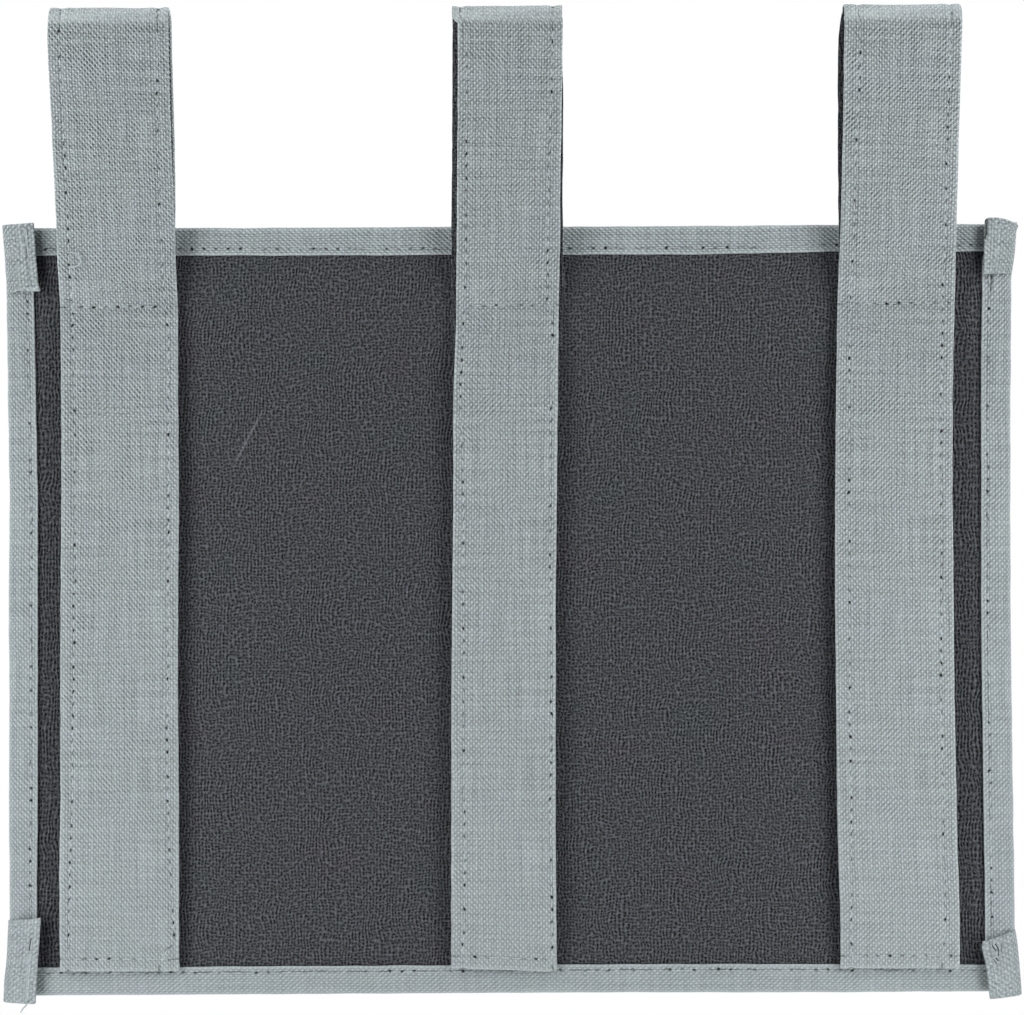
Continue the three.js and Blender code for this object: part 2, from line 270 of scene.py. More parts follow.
def woven(name, deep, crown, warp, weft, skew, lean, relief):
    """Plain weave, its warp and weft threads apart by their own spacing in millimetres. skew is how far
    the weft runs down for each millimetre across. The floats line up in slanting ribs both ways, and
    lean is the share of those that run up to the left, painted into the colour as the slant that side
    light picks out of the relief. Where a thread floats over, it catches the light, and the gaps between
    threads stay dark."""
    material = finish(name, 0.85, 0.1, 0.1)
    tree = material.node_tree
    shader = tree.nodes["Principled BSDF"]
    led = wandering(tree, (14, 0.14), (3, 0.05))
    straight = node(
        tree, "ShaderNodeVectorMath", {0: led, 1: (skew, 1, 0)}, operation="DOT_PRODUCT"
    )
    across = node(tree, "ShaderNodeSeparateXYZ", {0: led})
    by_warp = node(tree, "ShaderNodeMath", {0: across, 1: math.pi / warp}, operation="MULTIPLY")
    by_weft = node(tree, "ShaderNodeMath", {0: straight, 1: math.pi / weft}, operation="MULTIPLY")
    upwards = node(tree, "ShaderNodeMath", {0: by_warp, 1: by_weft}, operation="ADD")
    downwards = node(tree, "ShaderNodeMath", {0: by_warp, 1: by_weft}, operation="SUBTRACT")
    rising = node(tree, "ShaderNodeMath", {0: upwards}, operation="COSINE")
    falling = node(tree, "ShaderNodeMath", {0: downwards}, operation="COSINE")
    threads = node(tree, "ShaderNodeUVMap", uv_map="threads")
    sway = node(tree, "ShaderNodeTexNoise", {"Vector": threads, "Scale": 0.11, "Detail": 2.0})
    leaning = node(
        tree,
        "ShaderNodeMapRange",
        {
            "Value": sway.outputs[0],
            "From Min": 0.3,
            "From Max": 0.7,
            "To Min": lean - 0.22,
            "To Max": lean + 0.22,
        },
    )
    over = node(tree, "ShaderNodeMix", {0: leaning, 2: falling, 3: rising}, data_type="FLOAT")
    warps = node(tree, "ShaderNodeMath", {0: by_warp}, operation="COSINE")
    wefts = node(tree, "ShaderNodeMath", {0: by_weft}, operation="COSINE")
    ridges = node(tree, "ShaderNodeMath", {0: warps, 1: warps, 2: -0.5}, operation="MULTIPLY_ADD")
    rows = node(tree, "ShaderNodeMath", {0: wefts, 1: wefts, 2: -0.5}, operation="MULTIPLY_ADD")

    # Each thread is a little thicker or paler than the next, and keeps that along its length
    warp_lines = node(tree, "ShaderNodeVectorMath", {0: led, 1: (1 / warp, 0.04, 0)}, operation="MULTIPLY")
    weft_lines = node(tree, "ShaderNodeVectorMath", {0: led, 1: (0.04, 1 / weft, 0)}, operation="MULTIPLY")
    warp_tone = node(tree, "ShaderNodeTexNoise", {"Vector": warp_lines, "Scale": 1.0, "Detail": 0.0})
    weft_tone = node(tree, "ShaderNodeTexNoise", {"Vector": weft_lines, "Scale": 1.0, "Detail": 0.0})
    fibres = node(tree, "ShaderNodeTexNoise", {"Vector": led, "Scale": 1.3, "Detail": 2.0})
    tones = node(tree, "ShaderNodeMath", {0: warp_tone, 1: weft_tone}, operation="ADD")
    tones = node(tree, "ShaderNodeMath", {0: fibres, 1: 2.4, 2: tones}, operation="MULTIPLY_ADD")
    tones = node(tree, "ShaderNodeMath", {0: tones, 1: -2.2}, operation="ADD")

    # A fold presses the threads flat, and the weave's contrast is weaker towards the lower end. A fold's
    # edge is painted pale (1) as a highlight, a turned-back end is rubbed flat and dull (3), and a crease
    # is painted dark (below 0) as the shade in it
    folded = node(tree, "ShaderNodeAttribute", attribute_name="folded")
    upright = node(tree, "ShaderNodeTexCoord")
    height_up = node(tree, "ShaderNodeSeparateXYZ", {0: upright.outputs["Object"]})
    # Weave contrast and thread tones fade towards the lower end
    pressed = node(
        tree,
        "ShaderNodeMapRange",
        {"Value": height_up.outputs[2], "From Min": -0.3, "From Max": 0.0, "To Min": 0.6, "To Max": 1.1},
    )
    fold = folded.outputs["Fac"]
    rubbed = node(tree, "ShaderNodeMapRange", {"Value": fold, "From Min": 2.0, "From Max": 3.0})
    evened = node(tree, "ShaderNodeMapRange", {"Value": fold, "To Min": 1.0, "To Max": 0.35})
    evened = node(tree, "ShaderNodeMath", {0: rubbed, 1: 0.4, 2: evened}, operation="MULTIPLY_ADD")
    left = node(tree, "ShaderNodeMath", {0: pressed, 1: evened}, operation="MULTIPLY")

    shade = node(tree, "ShaderNodeMath", {0: over, 1: FLOAT_SHADE}, operation="MULTIPLY")
    shade = node(tree, "ShaderNodeMath", {0: ridges, 1: RIDGE_SHADE, 2: shade}, operation="MULTIPLY_ADD")
    shade = node(tree, "ShaderNodeMath", {0: rows, 1: ROW_SHADE, 2: shade}, operation="MULTIPLY_ADD")
    shade = node(tree, "ShaderNodeMath", {0: shade, 1: left, 2: 0.65}, operation="MULTIPLY_ADD")
    toned = node(tree, "ShaderNodeMath", {0: pressed, 1: 0.27}, operation="MULTIPLY")
    shade = node(tree, "ShaderNodeMath", {0: tones, 1: toned, 2: shade}, operation="MULTIPLY_ADD")
    # Every place but a fold's edge is painted darker by how far its fold value lies from 1: this leaves the
    # edges as painted highlights, darkens creases as painted shade, and dulls the rubbed ends
    away_from_highlight = node(tree, "ShaderNodeMath", {0: fold, 1: 1.0}, operation="SUBTRACT")
    away_from_highlight = node(tree, "ShaderNodeMath", {0: away_from_highlight}, operation="ABSOLUTE")
    shade = node(tree, "ShaderNodeMath", {0: away_from_highlight, 1: -0.15, 2: shade}, operation="MULTIPLY_ADD")

    # Where it is rubbed, loose fibres lie in specks over the weave
    lint = node(tree, "ShaderNodeTexNoise", {"Vector": threads, "Scale": 1.5, "Detail": 2.0})
    lint = node(tree, "ShaderNodeMath", {0: lint.outputs[0], 1: 1.0, 2: -0.36}, operation="MULTIPLY_ADD")
    shade = node(tree, "ShaderNodeMath", {0: rubbed, 1: lint, 2: shade}, operation="MULTIPLY_ADD")
    colour = tinted(tree, shade, deep, crown, 30, (0.97, 1.0, 0.965), (1.0, 0.985, 1.03))
    # Painted shade: needle holes, seam cracks and creases are mixed towards a dark colour for the shade in
    # them, and sunk a little in the relief
    hole_shade, crack_shade = needle_hole_shade(tree)
    hollows_painted_shade = node(tree, "ShaderNodeMath", {0: hole_shade, 1: crack_shade}, operation="MAXIMUM")
    crease_painted_shade = node(
        tree,
        "ShaderNodeMapRange",
        {"Value": fold, "From Min": 0.0, "From Max": -1.0, "To Max": 0.85},
    )
    hollows_painted_shade = node(tree, "ShaderNodeMath", {0: hollows_painted_shade, 1: crease_painted_shade}, operation="MAXIMUM")
    colour = node(tree, "ShaderNodeMix", {0: hollows_painted_shade, 6: colour, 7: linear(PAINTED_SHADE_COLOUR)}, data_type="RGBA")
    tree.links.new(colour.outputs[2], shader.inputs["Base Color"])

    height = node(tree, "ShaderNodeMath", {0: over, 1: FLOAT_RELIEF}, operation="MULTIPLY")
    height = node(tree, "ShaderNodeMath", {0: ridges, 1: RIDGE_RELIEF, 2: height}, operation="MULTIPLY_ADD")
    height = node(tree, "ShaderNodeMath", {0: rows, 1: ROW_RELIEF, 2: height}, operation="MULTIPLY_ADD")
    height = node(tree, "ShaderNodeMath", {0: fibres, 1: 0.3, 2: height}, operation="MULTIPLY_ADD")
    height = node(tree, "ShaderNodeMath", {0: height, 1: left}, operation="MULTIPLY")
    height = node(tree, "ShaderNodeMath", {0: rubbed, 1: lint, 2: height}, operation="MULTIPLY_ADD")
    height = node(tree, "ShaderNodeMath", {0: hollows_painted_shade, 1: -1.0, 2: height}, operation="MULTIPLY_ADD")
    bump = node(tree, "ShaderNodeBump", {"Height": height, "Distance": relief / 1000, "Strength": 1.0})
    tree.links.new(bump.outputs[0], shader.inputs["Normal"])
    return material


def embossed(name, deep, crown, cell, relief):
    """A coating that has sunk over the weave under it: small pits about cell millimetres apart in wavy
    rows, with joined ridges between them that bend as the cloth was pulled while it dried. In the bays at
    its two sides the cloth was drawn lengthwise, and the pits run together in upright chains."""
    material = finish(name, 0.5, 0.0, 0.05)
    tree = material.node_tree
    shader = tree.nodes["Principled BSDF"]
    led = wandering(tree, (14, 1.0), (5, 0.35))
    threads = node(tree, "ShaderNodeUVMap", uv_map="threads")
    bay = node(tree, "ShaderNodeSeparateXYZ", {0: threads})
    bay = node(tree, "ShaderNodeMath", {0: bay}, operation="ABSOLUTE")
    bay = node(tree, "ShaderNodeMath", {0: bay, 1: SIDE_BAY}, operation="GREATER_THAN")
    drawn = node(tree, "ShaderNodeMath", {0: bay, 1: -0.3 / cell, 2: 1 / cell}, operation="MULTIPLY_ADD")
    drawn = node(tree, "ShaderNodeCombineXYZ", {0: 1 / cell, 1: drawn})
    counted = node(tree, "ShaderNodeVectorMath", {0: led, 1: drawn}, operation="MULTIPLY")
    pits = node(
        tree,
        "ShaderNodeTexVoronoi",
        {"Vector": counted, "Scale": 1.0, "Randomness": 0.48},
        voronoi_dimensions="2D",
    )
    across = node(tree, "ShaderNodeSeparateXYZ", {0: counted})
    turned = node(tree, "ShaderNodeMath", {0: across, 1: 2 * math.pi}, operation="MULTIPLY")
    ridges = node(tree, "ShaderNodeMath", {0: turned}, operation="COSINE")
    pull = node(tree, "ShaderNodeTexNoise", {"Vector": threads, "Scale": 0.07, "Detail": 1.0})
    share = node(
        tree,
        "ShaderNodeMapRange",
        {"Value": pull.outputs[0], "From Min": 0.35, "From Max": 0.65, "To Min": 0.05, "To Max": 0.3},
    )
    share = node(tree, "ShaderNodeMath", {0: bay, 1: 0.1, 2: share}, operation="MULTIPLY_ADD")
    grit = node(tree, "ShaderNodeTexNoise", {"Vector": threads, "Scale": 1.7, "Detail": 1.5})
    height = node(tree, "ShaderNodeMath", {0: pits, 1: 1.5, 2: -0.6}, operation="MULTIPLY_ADD")
    height = node(tree, "ShaderNodeMath", {0: ridges, 1: share, 2: height}, operation="MULTIPLY_ADD")
    rough = node(tree, "ShaderNodeMath", {0: grit.outputs[0], 1: 2.0, 2: -1.0}, operation="MULTIPLY_ADD")
    height = node(tree, "ShaderNodeMath", {0: height, 1: rough}, operation="ADD")
    shade = node(tree, "ShaderNodeMath", {0: height, 1: 0.66, 2: 0.365}, operation="MULTIPLY_ADD")

    # A scuff where something hard once scraped the coating, pale and broken up by the pits
    scraped = node(
        tree,
        "ShaderNodeMapping",
        {0: threads, "Location": SCUFF_FROM, "Rotation": (0, 0, SCUFF_TURN)},
        vector_type="TEXTURE",
    )
    scraped = node(tree, "ShaderNodeSeparateXYZ", {0: scraped})
    shaky = node(tree, "ShaderNodeMath", {0: grit.outputs[0], 1: 1.6, 2: -0.8}, operation="MULTIPLY_ADD")
    shaky = node(tree, "ShaderNodeMath", {0: scraped.outputs[1], 1: shaky}, operation="ADD")
    shaky = node(tree, "ShaderNodeMath", {0: shaky}, operation="ABSOLUTE")
    mark = node(tree, "ShaderNodeMapRange", {"Value": shaky, "From Min": 0.34, "From Max": 0.08})
    along = node(tree, "ShaderNodeMath", {0: scraped.outputs[0], 1: SCUFF_LENGTH / 2}, operation="SUBTRACT")
    along = node(tree, "ShaderNodeMath", {0: along}, operation="ABSOLUTE")
    within = node(
        tree,
        "ShaderNodeMapRange",
        {"Value": along, "From Min": SCUFF_LENGTH / 2, "From Max": SCUFF_LENGTH / 6},
    )
    mark = node(tree, "ShaderNodeMath", {0: mark, 1: within}, operation="MULTIPLY")
    shade = node(tree, "ShaderNodeMath", {0: mark, 1: 1.1, 2: shade}, operation="MULTIPLY_ADD")
    colour = tinted(tree, shade, deep, crown, 24, (0.9, 1.03, 0.97), (1.07, 0.955, 1.04))
    tree.links.new(colour.outputs[2], shader.inputs["Base Color"])
    bump = node(tree, "ShaderNodeBump", {"Height": height, "Distance": relief / 1000, "Strength": 1.0})
    tree.links.new(bump.outputs[0], shader.inputs["Normal"])
    return material


# 600 denier polyester oxford, plain woven from thick yarns: coarse rows of pale floats in a matte grey
# Each strap has its own copy: the lean of its ribs differs as painted shading, standing in for the slant
# that the side light brings out on that strap, and the left copy's tones are a little darker
strap_cloth = {
    "left": woven("oxford_polyester_left_strap", "41474a", "c6cfd1", WARP, WEFT, 0.077, 0.66, 0.42),
    "middle": woven("oxford_polyester_middle_strap", "454a4c", "c8d1d3", WARP, WEFT, 0.017, 0.5, 0.42),
    "right": woven("oxford_polyester_right_strap", "454a4c", "c8d1d3", WARP, WEFT, 0.066, 0.4, 0.42),
}
# The same cloth cut into narrow tape along its warp and pulled tight round the edge
tape_cloth = woven("oxford_polyester_tape", "555c5f", "bbc4c6", TAPE_WARP, TAPE_WEFT, 0.0, 0.66, 0.26)
# Polyurethane coating on the cloth's back, spread wet: a dull skin with pits where it sank in the weave
coating = embossed("polyurethane_coated_reverse", "0e0f11", "696b70", 1.07, 0.2)
# Spun polyester sewing thread, twisted, with a faint gloss
thread_finish = finish("spun_polyester_thread", 0.6, 0.2, 0.4)
thread_tree = thread_finish.node_tree
thread_place = node(thread_tree, "ShaderNodeTexCoord")
thread_twist = node(
    thread_tree,
    "ShaderNodeTexNoise",
    {"Vector": thread_place.outputs["Object"], "Scale": 2600.0, "Detail": 1.0},
)
thread_colour = node(
    thread_tree,
    "ShaderNodeMix",
    {0: thread_twist.outputs[0], 6: linear("8e999d"), 7: linear("c4cdd0")},
    data_type="RGBA",
)
thread_shader = thread_tree.nodes["Principled BSDF"]
thread_tree.links.new(thread_colour.outputs[2], thread_shader.inputs["Base Color"])


# Laying cloth and sewing it


def lay_cloth(name, lengthwise, crosswise, put, ply, finishes):
    """A sheet of cloth laid as a grid. put(row, column) gives each crossing's place, the thread lengths
    there (across, along), its nearest stitch (along, off; NO_SEAM off where none shows) and how the cloth
    is folded: up to 1 on an edge that stands out, painted pale there as a highlight, 3 on an end rubbed
    flat, down to -1 in a crease, painted dark there as its shade.
    The sheet's size before it was folded stays with it as cut."""
    grid = bmesh.new()
    columns, rows = len(crosswise) - 1, len(lengthwise) - 1
    bmesh.ops.create_grid(grid, x_segments=columns, y_segments=rows, size=1)
    threads = grid.loops.layers.uv.new("threads")
    stitches = grid.loops.layers.uv.new("stitches")
    folded = grid.verts.layers.float.new("folded")
    laid = {}
    for vert in grid.verts:
        column = crosswise[round((vert.co.x + 1) / 2 * columns)]
        row = lengthwise[round((vert.co.y + 1) / 2 * rows)]
        place, cloth, stitch, fold = put(row, column)
        vert.co = placed(*place)
        vert[folded] = fold
        laid[vert] = cloth, stitch
    for face in grid.faces:
        face.smooth = True
        for loop in face.loops:
            loop[threads].uv, loop[stitches].uv = laid[loop.vert]
    lengths = [cloth for cloth, _ in laid.values()]
    cut = [max(length[i] for length in lengths) - min(length[i] for length in lengths) for i in (0, 1)]
    mesh = bpy.data.meshes.new(name)
    grid.to_mesh(mesh)
    grid.free()
    piece = bpy.data.objects.new(name, mesh)
    bpy.context.scene.collection.objects.link(piece)
    for material in finishes:
        mesh.materials.append(material)
    thicken = piece.modifiers.new("ply", "SOLIDIFY")
    thicken.thickness = ply / 1000
    thicken.offset = 0
    thicken.material_offset = len(finishes) - 1
    settle(piece)
    piece["cut"] = [length / 1000 for length in cut]
    return piece


def settle(piece):
    """Makes what a piece's modifiers do part of its mesh, with crisp cut edges."""
    graph = bpy.context.evaluated_depsgraph_get()
    mesh = bpy.data.meshes.new_from_object(piece.evaluated_get(graph))
    piece.modifiers.clear()
    piece.data = mesh
    mesh.name = piece.name
    mesh.set_sharp_from_angle(angle=math.radians(50))


def sew(name, runs, loose=()):
    """Sewing thread: one low stitch between each two holes of a run of (place, outward direction). A
    loose end is puffed out, and a run of places so near each other that its twists join up."""
    thread = bmesh.new()
    for run, share, puffed in [(run, 0.37, 1) for run in runs] + [(run, 0.6, 1.5) for run in loose]:
        for (start, outward), (end, _) in zip(run, run[1:]):
            along = end - start
            side = along.cross(outward).normalized()
            up = side.cross(along).normalized()
            turn = Matrix((side, along.normalized(), up)).transposed().to_4x4()
            size = Matrix.Diagonal(
                (
                    puffed * THREAD_RADIUS / 1000,
                    along.length * share,
                    puffed * THREAD_RADIUS * 0.8 / 1000,
                    1,
                )
            )
            middle = Matrix.Translation((start + end) / 2)
            upright = Matrix.Rotation(math.radians(90), 4, "X")
            bmesh.ops.create_uvsphere(
                thread, u_segments=6, v_segments=6, radius=1, matrix=middle @ turn @ size @ upright
            )
    for face in thread.faces:
        face.smooth = True
    mesh = bpy.data.meshes.new(name)
    thread.to_mesh(mesh)
    thread.free()
    piece = bpy.data.objects.new(name, mesh)
    bpy.context.scene.collection.objects.link(piece)
    mesh.materials.append(thread_finish)
    return piece


def loose_end(points, outward):
    """A thread end that lies in soft bends through points of the panel's frame."""
    run = []
    last = len(points) - 1
    for i in range(last):
        before, start, end, after = (Vector(points[min(max(k, 0), last)]) for k in range(i - 1, i + 3))
        for step in range(5):
            t = step / 5
            bend = 2 * start + (end - before) * t + (2 * before - 5 * start + 4 * end - after) * t**2
            place = (bend + (3 * start - before - 3 * end + after) * t**3) / 2
            run.append((placed(*place), Vector(outward)))
    return run


# Back panel: one sheet, coated side to the straps, lying a little uneven between its bound edges


def panel_wave(x, z):
    """How far the panel's cloth stands off flat."""
    from_edge = min(PANEL_HALF - abs(x), z, PANEL_HEIGHT - z)
    loose = smooth(7, 32, from_edge)
    return loose * (0.5 * ripple(x, z, 42, 3.1) + 0.2 * ripple(x, z, 15, 8.4))


def put_panel(z, x):
    return (x, PANEL_PLY / 2 + panel_wave(x, z), z), (x, z), (0, NO_SEAM), 0


panel = lay_cloth(
    "back_panel_sheet",
    even_steps(0, PANEL_HEIGHT, 2 * GRID),
    even_steps(-PANEL_HALF, PANEL_HALF, 2 * GRID),
    put_panel,
    PANEL_PLY,
    [coating, strap_cloth["middle"]],
)
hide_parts("back_panel")
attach(panel, "panel")


# Binding tape, seen in cross section: turned under at both long edges and folded round the panel's edge


def tape_section(depth, fine):
    """Stations round a tape's section, those on its strap side fine millimetres apart. Each is (share of
    the leg, step from there, share of the depth, step from there, length of tape to here). Legs and their
    steps run inwards from the fold."""
    hem = TAPE_HEM_RADIUS
    half = depth / 2
    front = []
    for reach in even_steps(TAPE_FLAP, 0, 1.2):
        front.append((1, -hem - reach, 0, 2 * hem))
    for turn in (45, 90, 135):
        angle = math.radians(turn)
        front.append((1, -hem + hem * math.sin(angle), 0, hem + hem * math.cos(angle)))
    coarse = list(front)
    for stations, step in ((front, fine), (coarse, TAPE_STEP)):
        for share in even_steps(1, 0, step / TAPE_LEG):
            stations.append((share, -hem * share + half * (1 - share), 0, 0))
    fold = []
    for turn in even_steps(0, 180, 30)[1:-1]:
        angle = math.radians(turn)
        fold.append((0, half * (1 - math.sin(angle)), (1 - math.cos(angle)) / 2, 0))
    back = [(share, step, 1, -dip) for share, step, _, dip in reversed(coarse)]
    stations = front + fold + back
    length = 0
    measured = []
    before = None
    for share, step, deep, dip in stations:
        here = (share * TAPE_LEG + step, deep * depth + dip)
        if before:
            length += math.dist(before, here)
        before = here
        measured.append((share, step, deep, dip, length))
    return measured


def bind(name, lengthwise, depth, spot, node_name, seed, creases=(), holes_off=0):
    """A binding. spot(row) gives the place along, the reach from the outer to the inner edge, what turns
    (reach, depth) at that row into a place, and how hard the tape is pressed flat there. A crease is a
    line (x, z) to (x, z) and its depth. holes_off is how far its holes show beside its stitches."""
    section = tape_section(depth, TAPE_STEP / 2 if creases else TAPE_STEP)

    def put(row, station):
        share, step, deep, dip, across = station
        along, reach, turned, pressed = spot(row)
        inwards = share * reach + step
        off = (1 - share) * reach - step - TAPE_SEAM
        pull = mound(off, 0.75) * (0.13 + 0.09 * math.cos(2 * math.pi * along / STITCH))
        crown = 0.16 * smooth(0, 3, off) * smooth(-0.2, 2.6, share * reach + step - 0.6)
        uneven = 0.1 * ripple(across, along, 9, seed)
        out = (1 - 2 * deep) * (pull - crown + uneven)
        # The tape's folded and hemmed edges are painted pale, a painted highlight; the turned ends carry
        # how hard they are rubbed flat
        fold = max(mound((1 - share) * reach - step, 0.5), mound(share * reach + step, 0.8), pressed)
        x, y, z = turned(inwards, deep, dip + out)
        # A crease is dented into the cloth and also painted dark, as the shade that falls in it
        if deep == 0:
            crease_shade_depth = 0
            for *ends, dent in creases:
                away = segment_distance(x, z, *ends)
                y += dent * (0.4 * mound(away, 0.36) - 0.35 * mound(away - 0.85, 0.4))
                crease_shade_depth = max(crease_shade_depth, dent * mound(away, 0.3 + 0.04 * pressed))
            fold -= crease_shade_depth * (1 + 1.25 * pressed)
        marks = NO_SEAM if pressed > 0.3 else holes_off
        return (x, y, z), (across, along), (along + SEAMS_APART * seed, off + marks), fold

    piece = lay_cloth(name, lengthwise, section, put, TAPE_PLY, [tape_cloth])
    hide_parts(node_name)
    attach(piece, "panel")
    return piece, put


def seam_run(put, lengthwise, deep):
    """Holes along a binding's seam on one face, just above the tape: the row nearest to each."""
    nearest = {}
    share = 1 - TAPE_SEAM / TAPE_LEG
    side = 1 - 2 * deep
    for row in lengthwise:
        place, _, (stitch, _), _ = put(row, (share, 0, deep, -side * (TAPE_PLY / 2 + 0.04), 0))
        above, _, _, _ = put(row, (share, 0, deep, -side * (TAPE_PLY / 2 + 1), 0))
        start, end = placed(*place), placed(*above)
        number = round(stitch / STITCH)
        miss = abs(stitch / STITCH - number)
        if number not in nearest or miss < nearest[number][0]:
            nearest[number] = miss, (start, (end - start).normalized())
    return [hole for _, (_, hole) in sorted(nearest.items())]


# Top and bottom bindings, whose edges wander a little where the sewing pulled them
TOP_OUTER = [
    (-143, 239.0), (-81, 238.75), (-24, 238.8), (29, 238.7), (60, 238.7), (100, 238.85), (144, 238.9),
]
TOP_INNER = [
    (-143, 230.6), (-81, 230.3), (-24, 230.2), (29, 230.1), (60, 230.0), (100, 230.7), (144, 230.5),
]
BOTTOM_OUTER = [(-144, -0.75), (-82, -0.7), (-25, -0.65), (28, -0.6), (59, -0.75), (99, -0.9), (143, -0.85)]
BOTTOM_INNER = [(-144, 8.0), (-82, 8.05), (-25, 8.1), (28, 8.15), (59, 8.15), (99, 7.95), (143, 7.6)]


def edge_spot(outer, inner, inwards, near, far, seed):
    """Where a top or bottom binding runs: near and far are its two faces' middles."""

    def spot(x):
        edge = from_table(outer, x) + 0.12 * ripple(x, 0, 11, seed)
        rim = from_table(inner, x) + 0.14 * ripple(x, 5, 8, seed)

        def turned(reach, deep, dip):
            return x, near + deep * (far - near) + dip, edge + inwards * reach

        return x, abs(rim - edge), turned, 0

    return spot


top_rows = even_steps(PANEL_HALF, -PANEL_HALF, GRID)
top_spot = edge_spot(TOP_OUTER, TOP_INNER, -1, -0.75, 1.55, 1)
top_tape, put_top = bind("top_binding_tape", top_rows, TOP_DEPTH, top_spot, "top_binding", 1)
bottom_rows = even_steps(-PANEL_HALF, PANEL_HALF, GRID)
bottom_spot = edge_spot(BOTTOM_OUTER, BOTTOM_INNER, 1, -0.75, 3.35, 2)
bottom_tape, put_bottom = bind(
    "bottom_binding_tape", bottom_rows, BOTTOM_DEPTH, bottom_spot, "bottom_binding", 2, holes_off=0.3
)

# Side bindings. Each tape's ends run past the corners and are turned back outwards as a second layer.
# The tables give the outer and inner edges of the first layer, then of the turned ends, by height. brow is
# how far the top rises or dips across, low and high are (free end, its slope, fold, its slope), and each
# crease is a line and its depth
LEFT_OUTER = [
    (0, 157.1), (30, 156.9), (61, 157.0), (92, 156.7), (123, 156.8), (154, 156.3), (185, 156.7),
    (220, 157.0), (239, 157.2),
]
LEFT_INNER = [
    (29, 148.25), (61, 147.8), (92, 147.65), (123, 147.5), (154, 147.35), (185, 147.8), (202, 148.05),
    (216, 148.3),
]
RIGHT_OUTER = [
    (0, 157.6), (28, 157.4), (59, 157.1), (90, 156.8), (121, 156.6), (153, 156.7), (184, 156.85),
    (209, 157.2), (239, 157.6),
]
RIGHT_INNER = [
    (9, 147.9), (28, 148.0), (44, 147.8), (90, 147.4), (121, 147.2), (153, 147.4), (184, 147.5),
    (201, 147.6), (215, 148.0),
]
SIDES = {
    "left": {
        "side": -1,
        "outer": LEFT_OUTER,
        "inner": LEFT_INNER,
        "tab_outer": [
            (-2.6, 159.0), (4, 158.6), (10, 158.0), (24.5, 157.3), (219, 156.6), (226, 157.3),
            (232, 157.6), (240, 158.1),
        ],
        "tab_inner": [(-2.6, 148.3), (24.5, 146.5), (219, 145.8), (222, 146.6), (240, 147.7)],
        "brow": [(147, 0.3), (148.5, 0.1), (150, 0), (156, 0), (158, 0.1)],
        "low": (23.4, -0.13, -2.6, 0.03),
        "high": (219.0, -0.03, 240.1, -0.05),
        "creases": [
            (-150.9, 238.4, -150.4, 234.6, 0.78),
            (-150.0, 232.8, -149.6, 229.4, 0.8),
            (-149.3, 228.2, -148.4, 221.6, 0.78),
            (-151.9, 236.5, -151.3, 230.5, 0.5),
            (-152.9, 227.4, -152.2, 220.2, 0.5),
            (-155.5, 218.9, -151.5, 219.3, 0.8),
            (-149.5, 219.1, -146.0, 219.1, 0.6),
            (-151.0, 218.2, -149.7, 215.6, 0.5),
            (-156.3, 22.6, -152.5, 23.1, 0.6),
            (-149.5, 17.6, -150.1, 13.9, 0.9),
            (-150.3, 12.6, -151.2, -1.5, 0.4),
        ],
    },
    "right": {
        "side": 1,
        "outer": RIGHT_OUTER,
        "inner": RIGHT_INNER,
        "tab_outer": [
            (-2.6, 159.5), (6, 158.9), (11, 158.3), (18.4, 157.3), (223, 157.4), (231, 158.4),
            (237, 158.9), (239.3, 159.5), (240, 159.2),
        ],
        "tab_inner": [(-2.6, 148.9), (10, 147.5), (15.5, 146.4), (18, 147.0), (223, 147.9), (240, 148.3)],
        "brow": [
            (148.3, -0.9), (149, -0.2), (150.3, 0.15), (153.4, 0.15), (155.6, -0.25), (157.6, -0.95),
            (158.8, -0.7),
        ],
        "low": (16.8, 0.3, -2.3, 0.09),
        "high": (223.2, 0.0, 240.4, -0.05),
        "creases": [
            (149.0, 14.9, 150.6, 12.6, 0.9),
            (150.5, 12.6, 150.5, 11.8, 0.8),
            (150.5, 14.5, 151.4, 13.0, 0.95),
            (151.4, 13.0, 151.3, 10.9, 0.85),
            (152.5, 14.8, 152.2, 11.7, 0.8),
            (150.6, 10.4, 151.4, 9.3, 0.9),
            (149.9, 9.9, 150.8, 8.5, 0.85),
            (152.6, 17.6, 156.0, 18.5, 0.5),
            (153.6, 223.2, 157.2, 223.3, 1),
            (148.3, 223.2, 150.8, 222.7, 0.7),
            (148.3, 222.0, 156.8, 222.3, 0.4),
            (148.6, 240.2, 148.4, 234, 0.9),
            (149.0, 240.0, 148.8, 235, 0.85),
            (151.3, 226.6, 150.4, 217.5, 0.7),
            (152.0, 237.4, 151.9, 234.6, 0.7),
            (152.2, 230.5, 151.8, 228.0, 0.5),
        ],
    },
}
TAB_FOLD = 0.5
TAB_MIDDLE = 152


def segment_distance(x, z, x0, z0, x1, z1):
    """How far a place is from a straight line between two others."""
    ends = Vector((x1 - x0, z1 - z0))
    share = Vector((x - x0, z - z0)).dot(ends) / ends.length_squared
    nearest = Vector((x0, z0)) + min(max(share, 0), 1) * ends
    return math.dist((x, z), nearest)


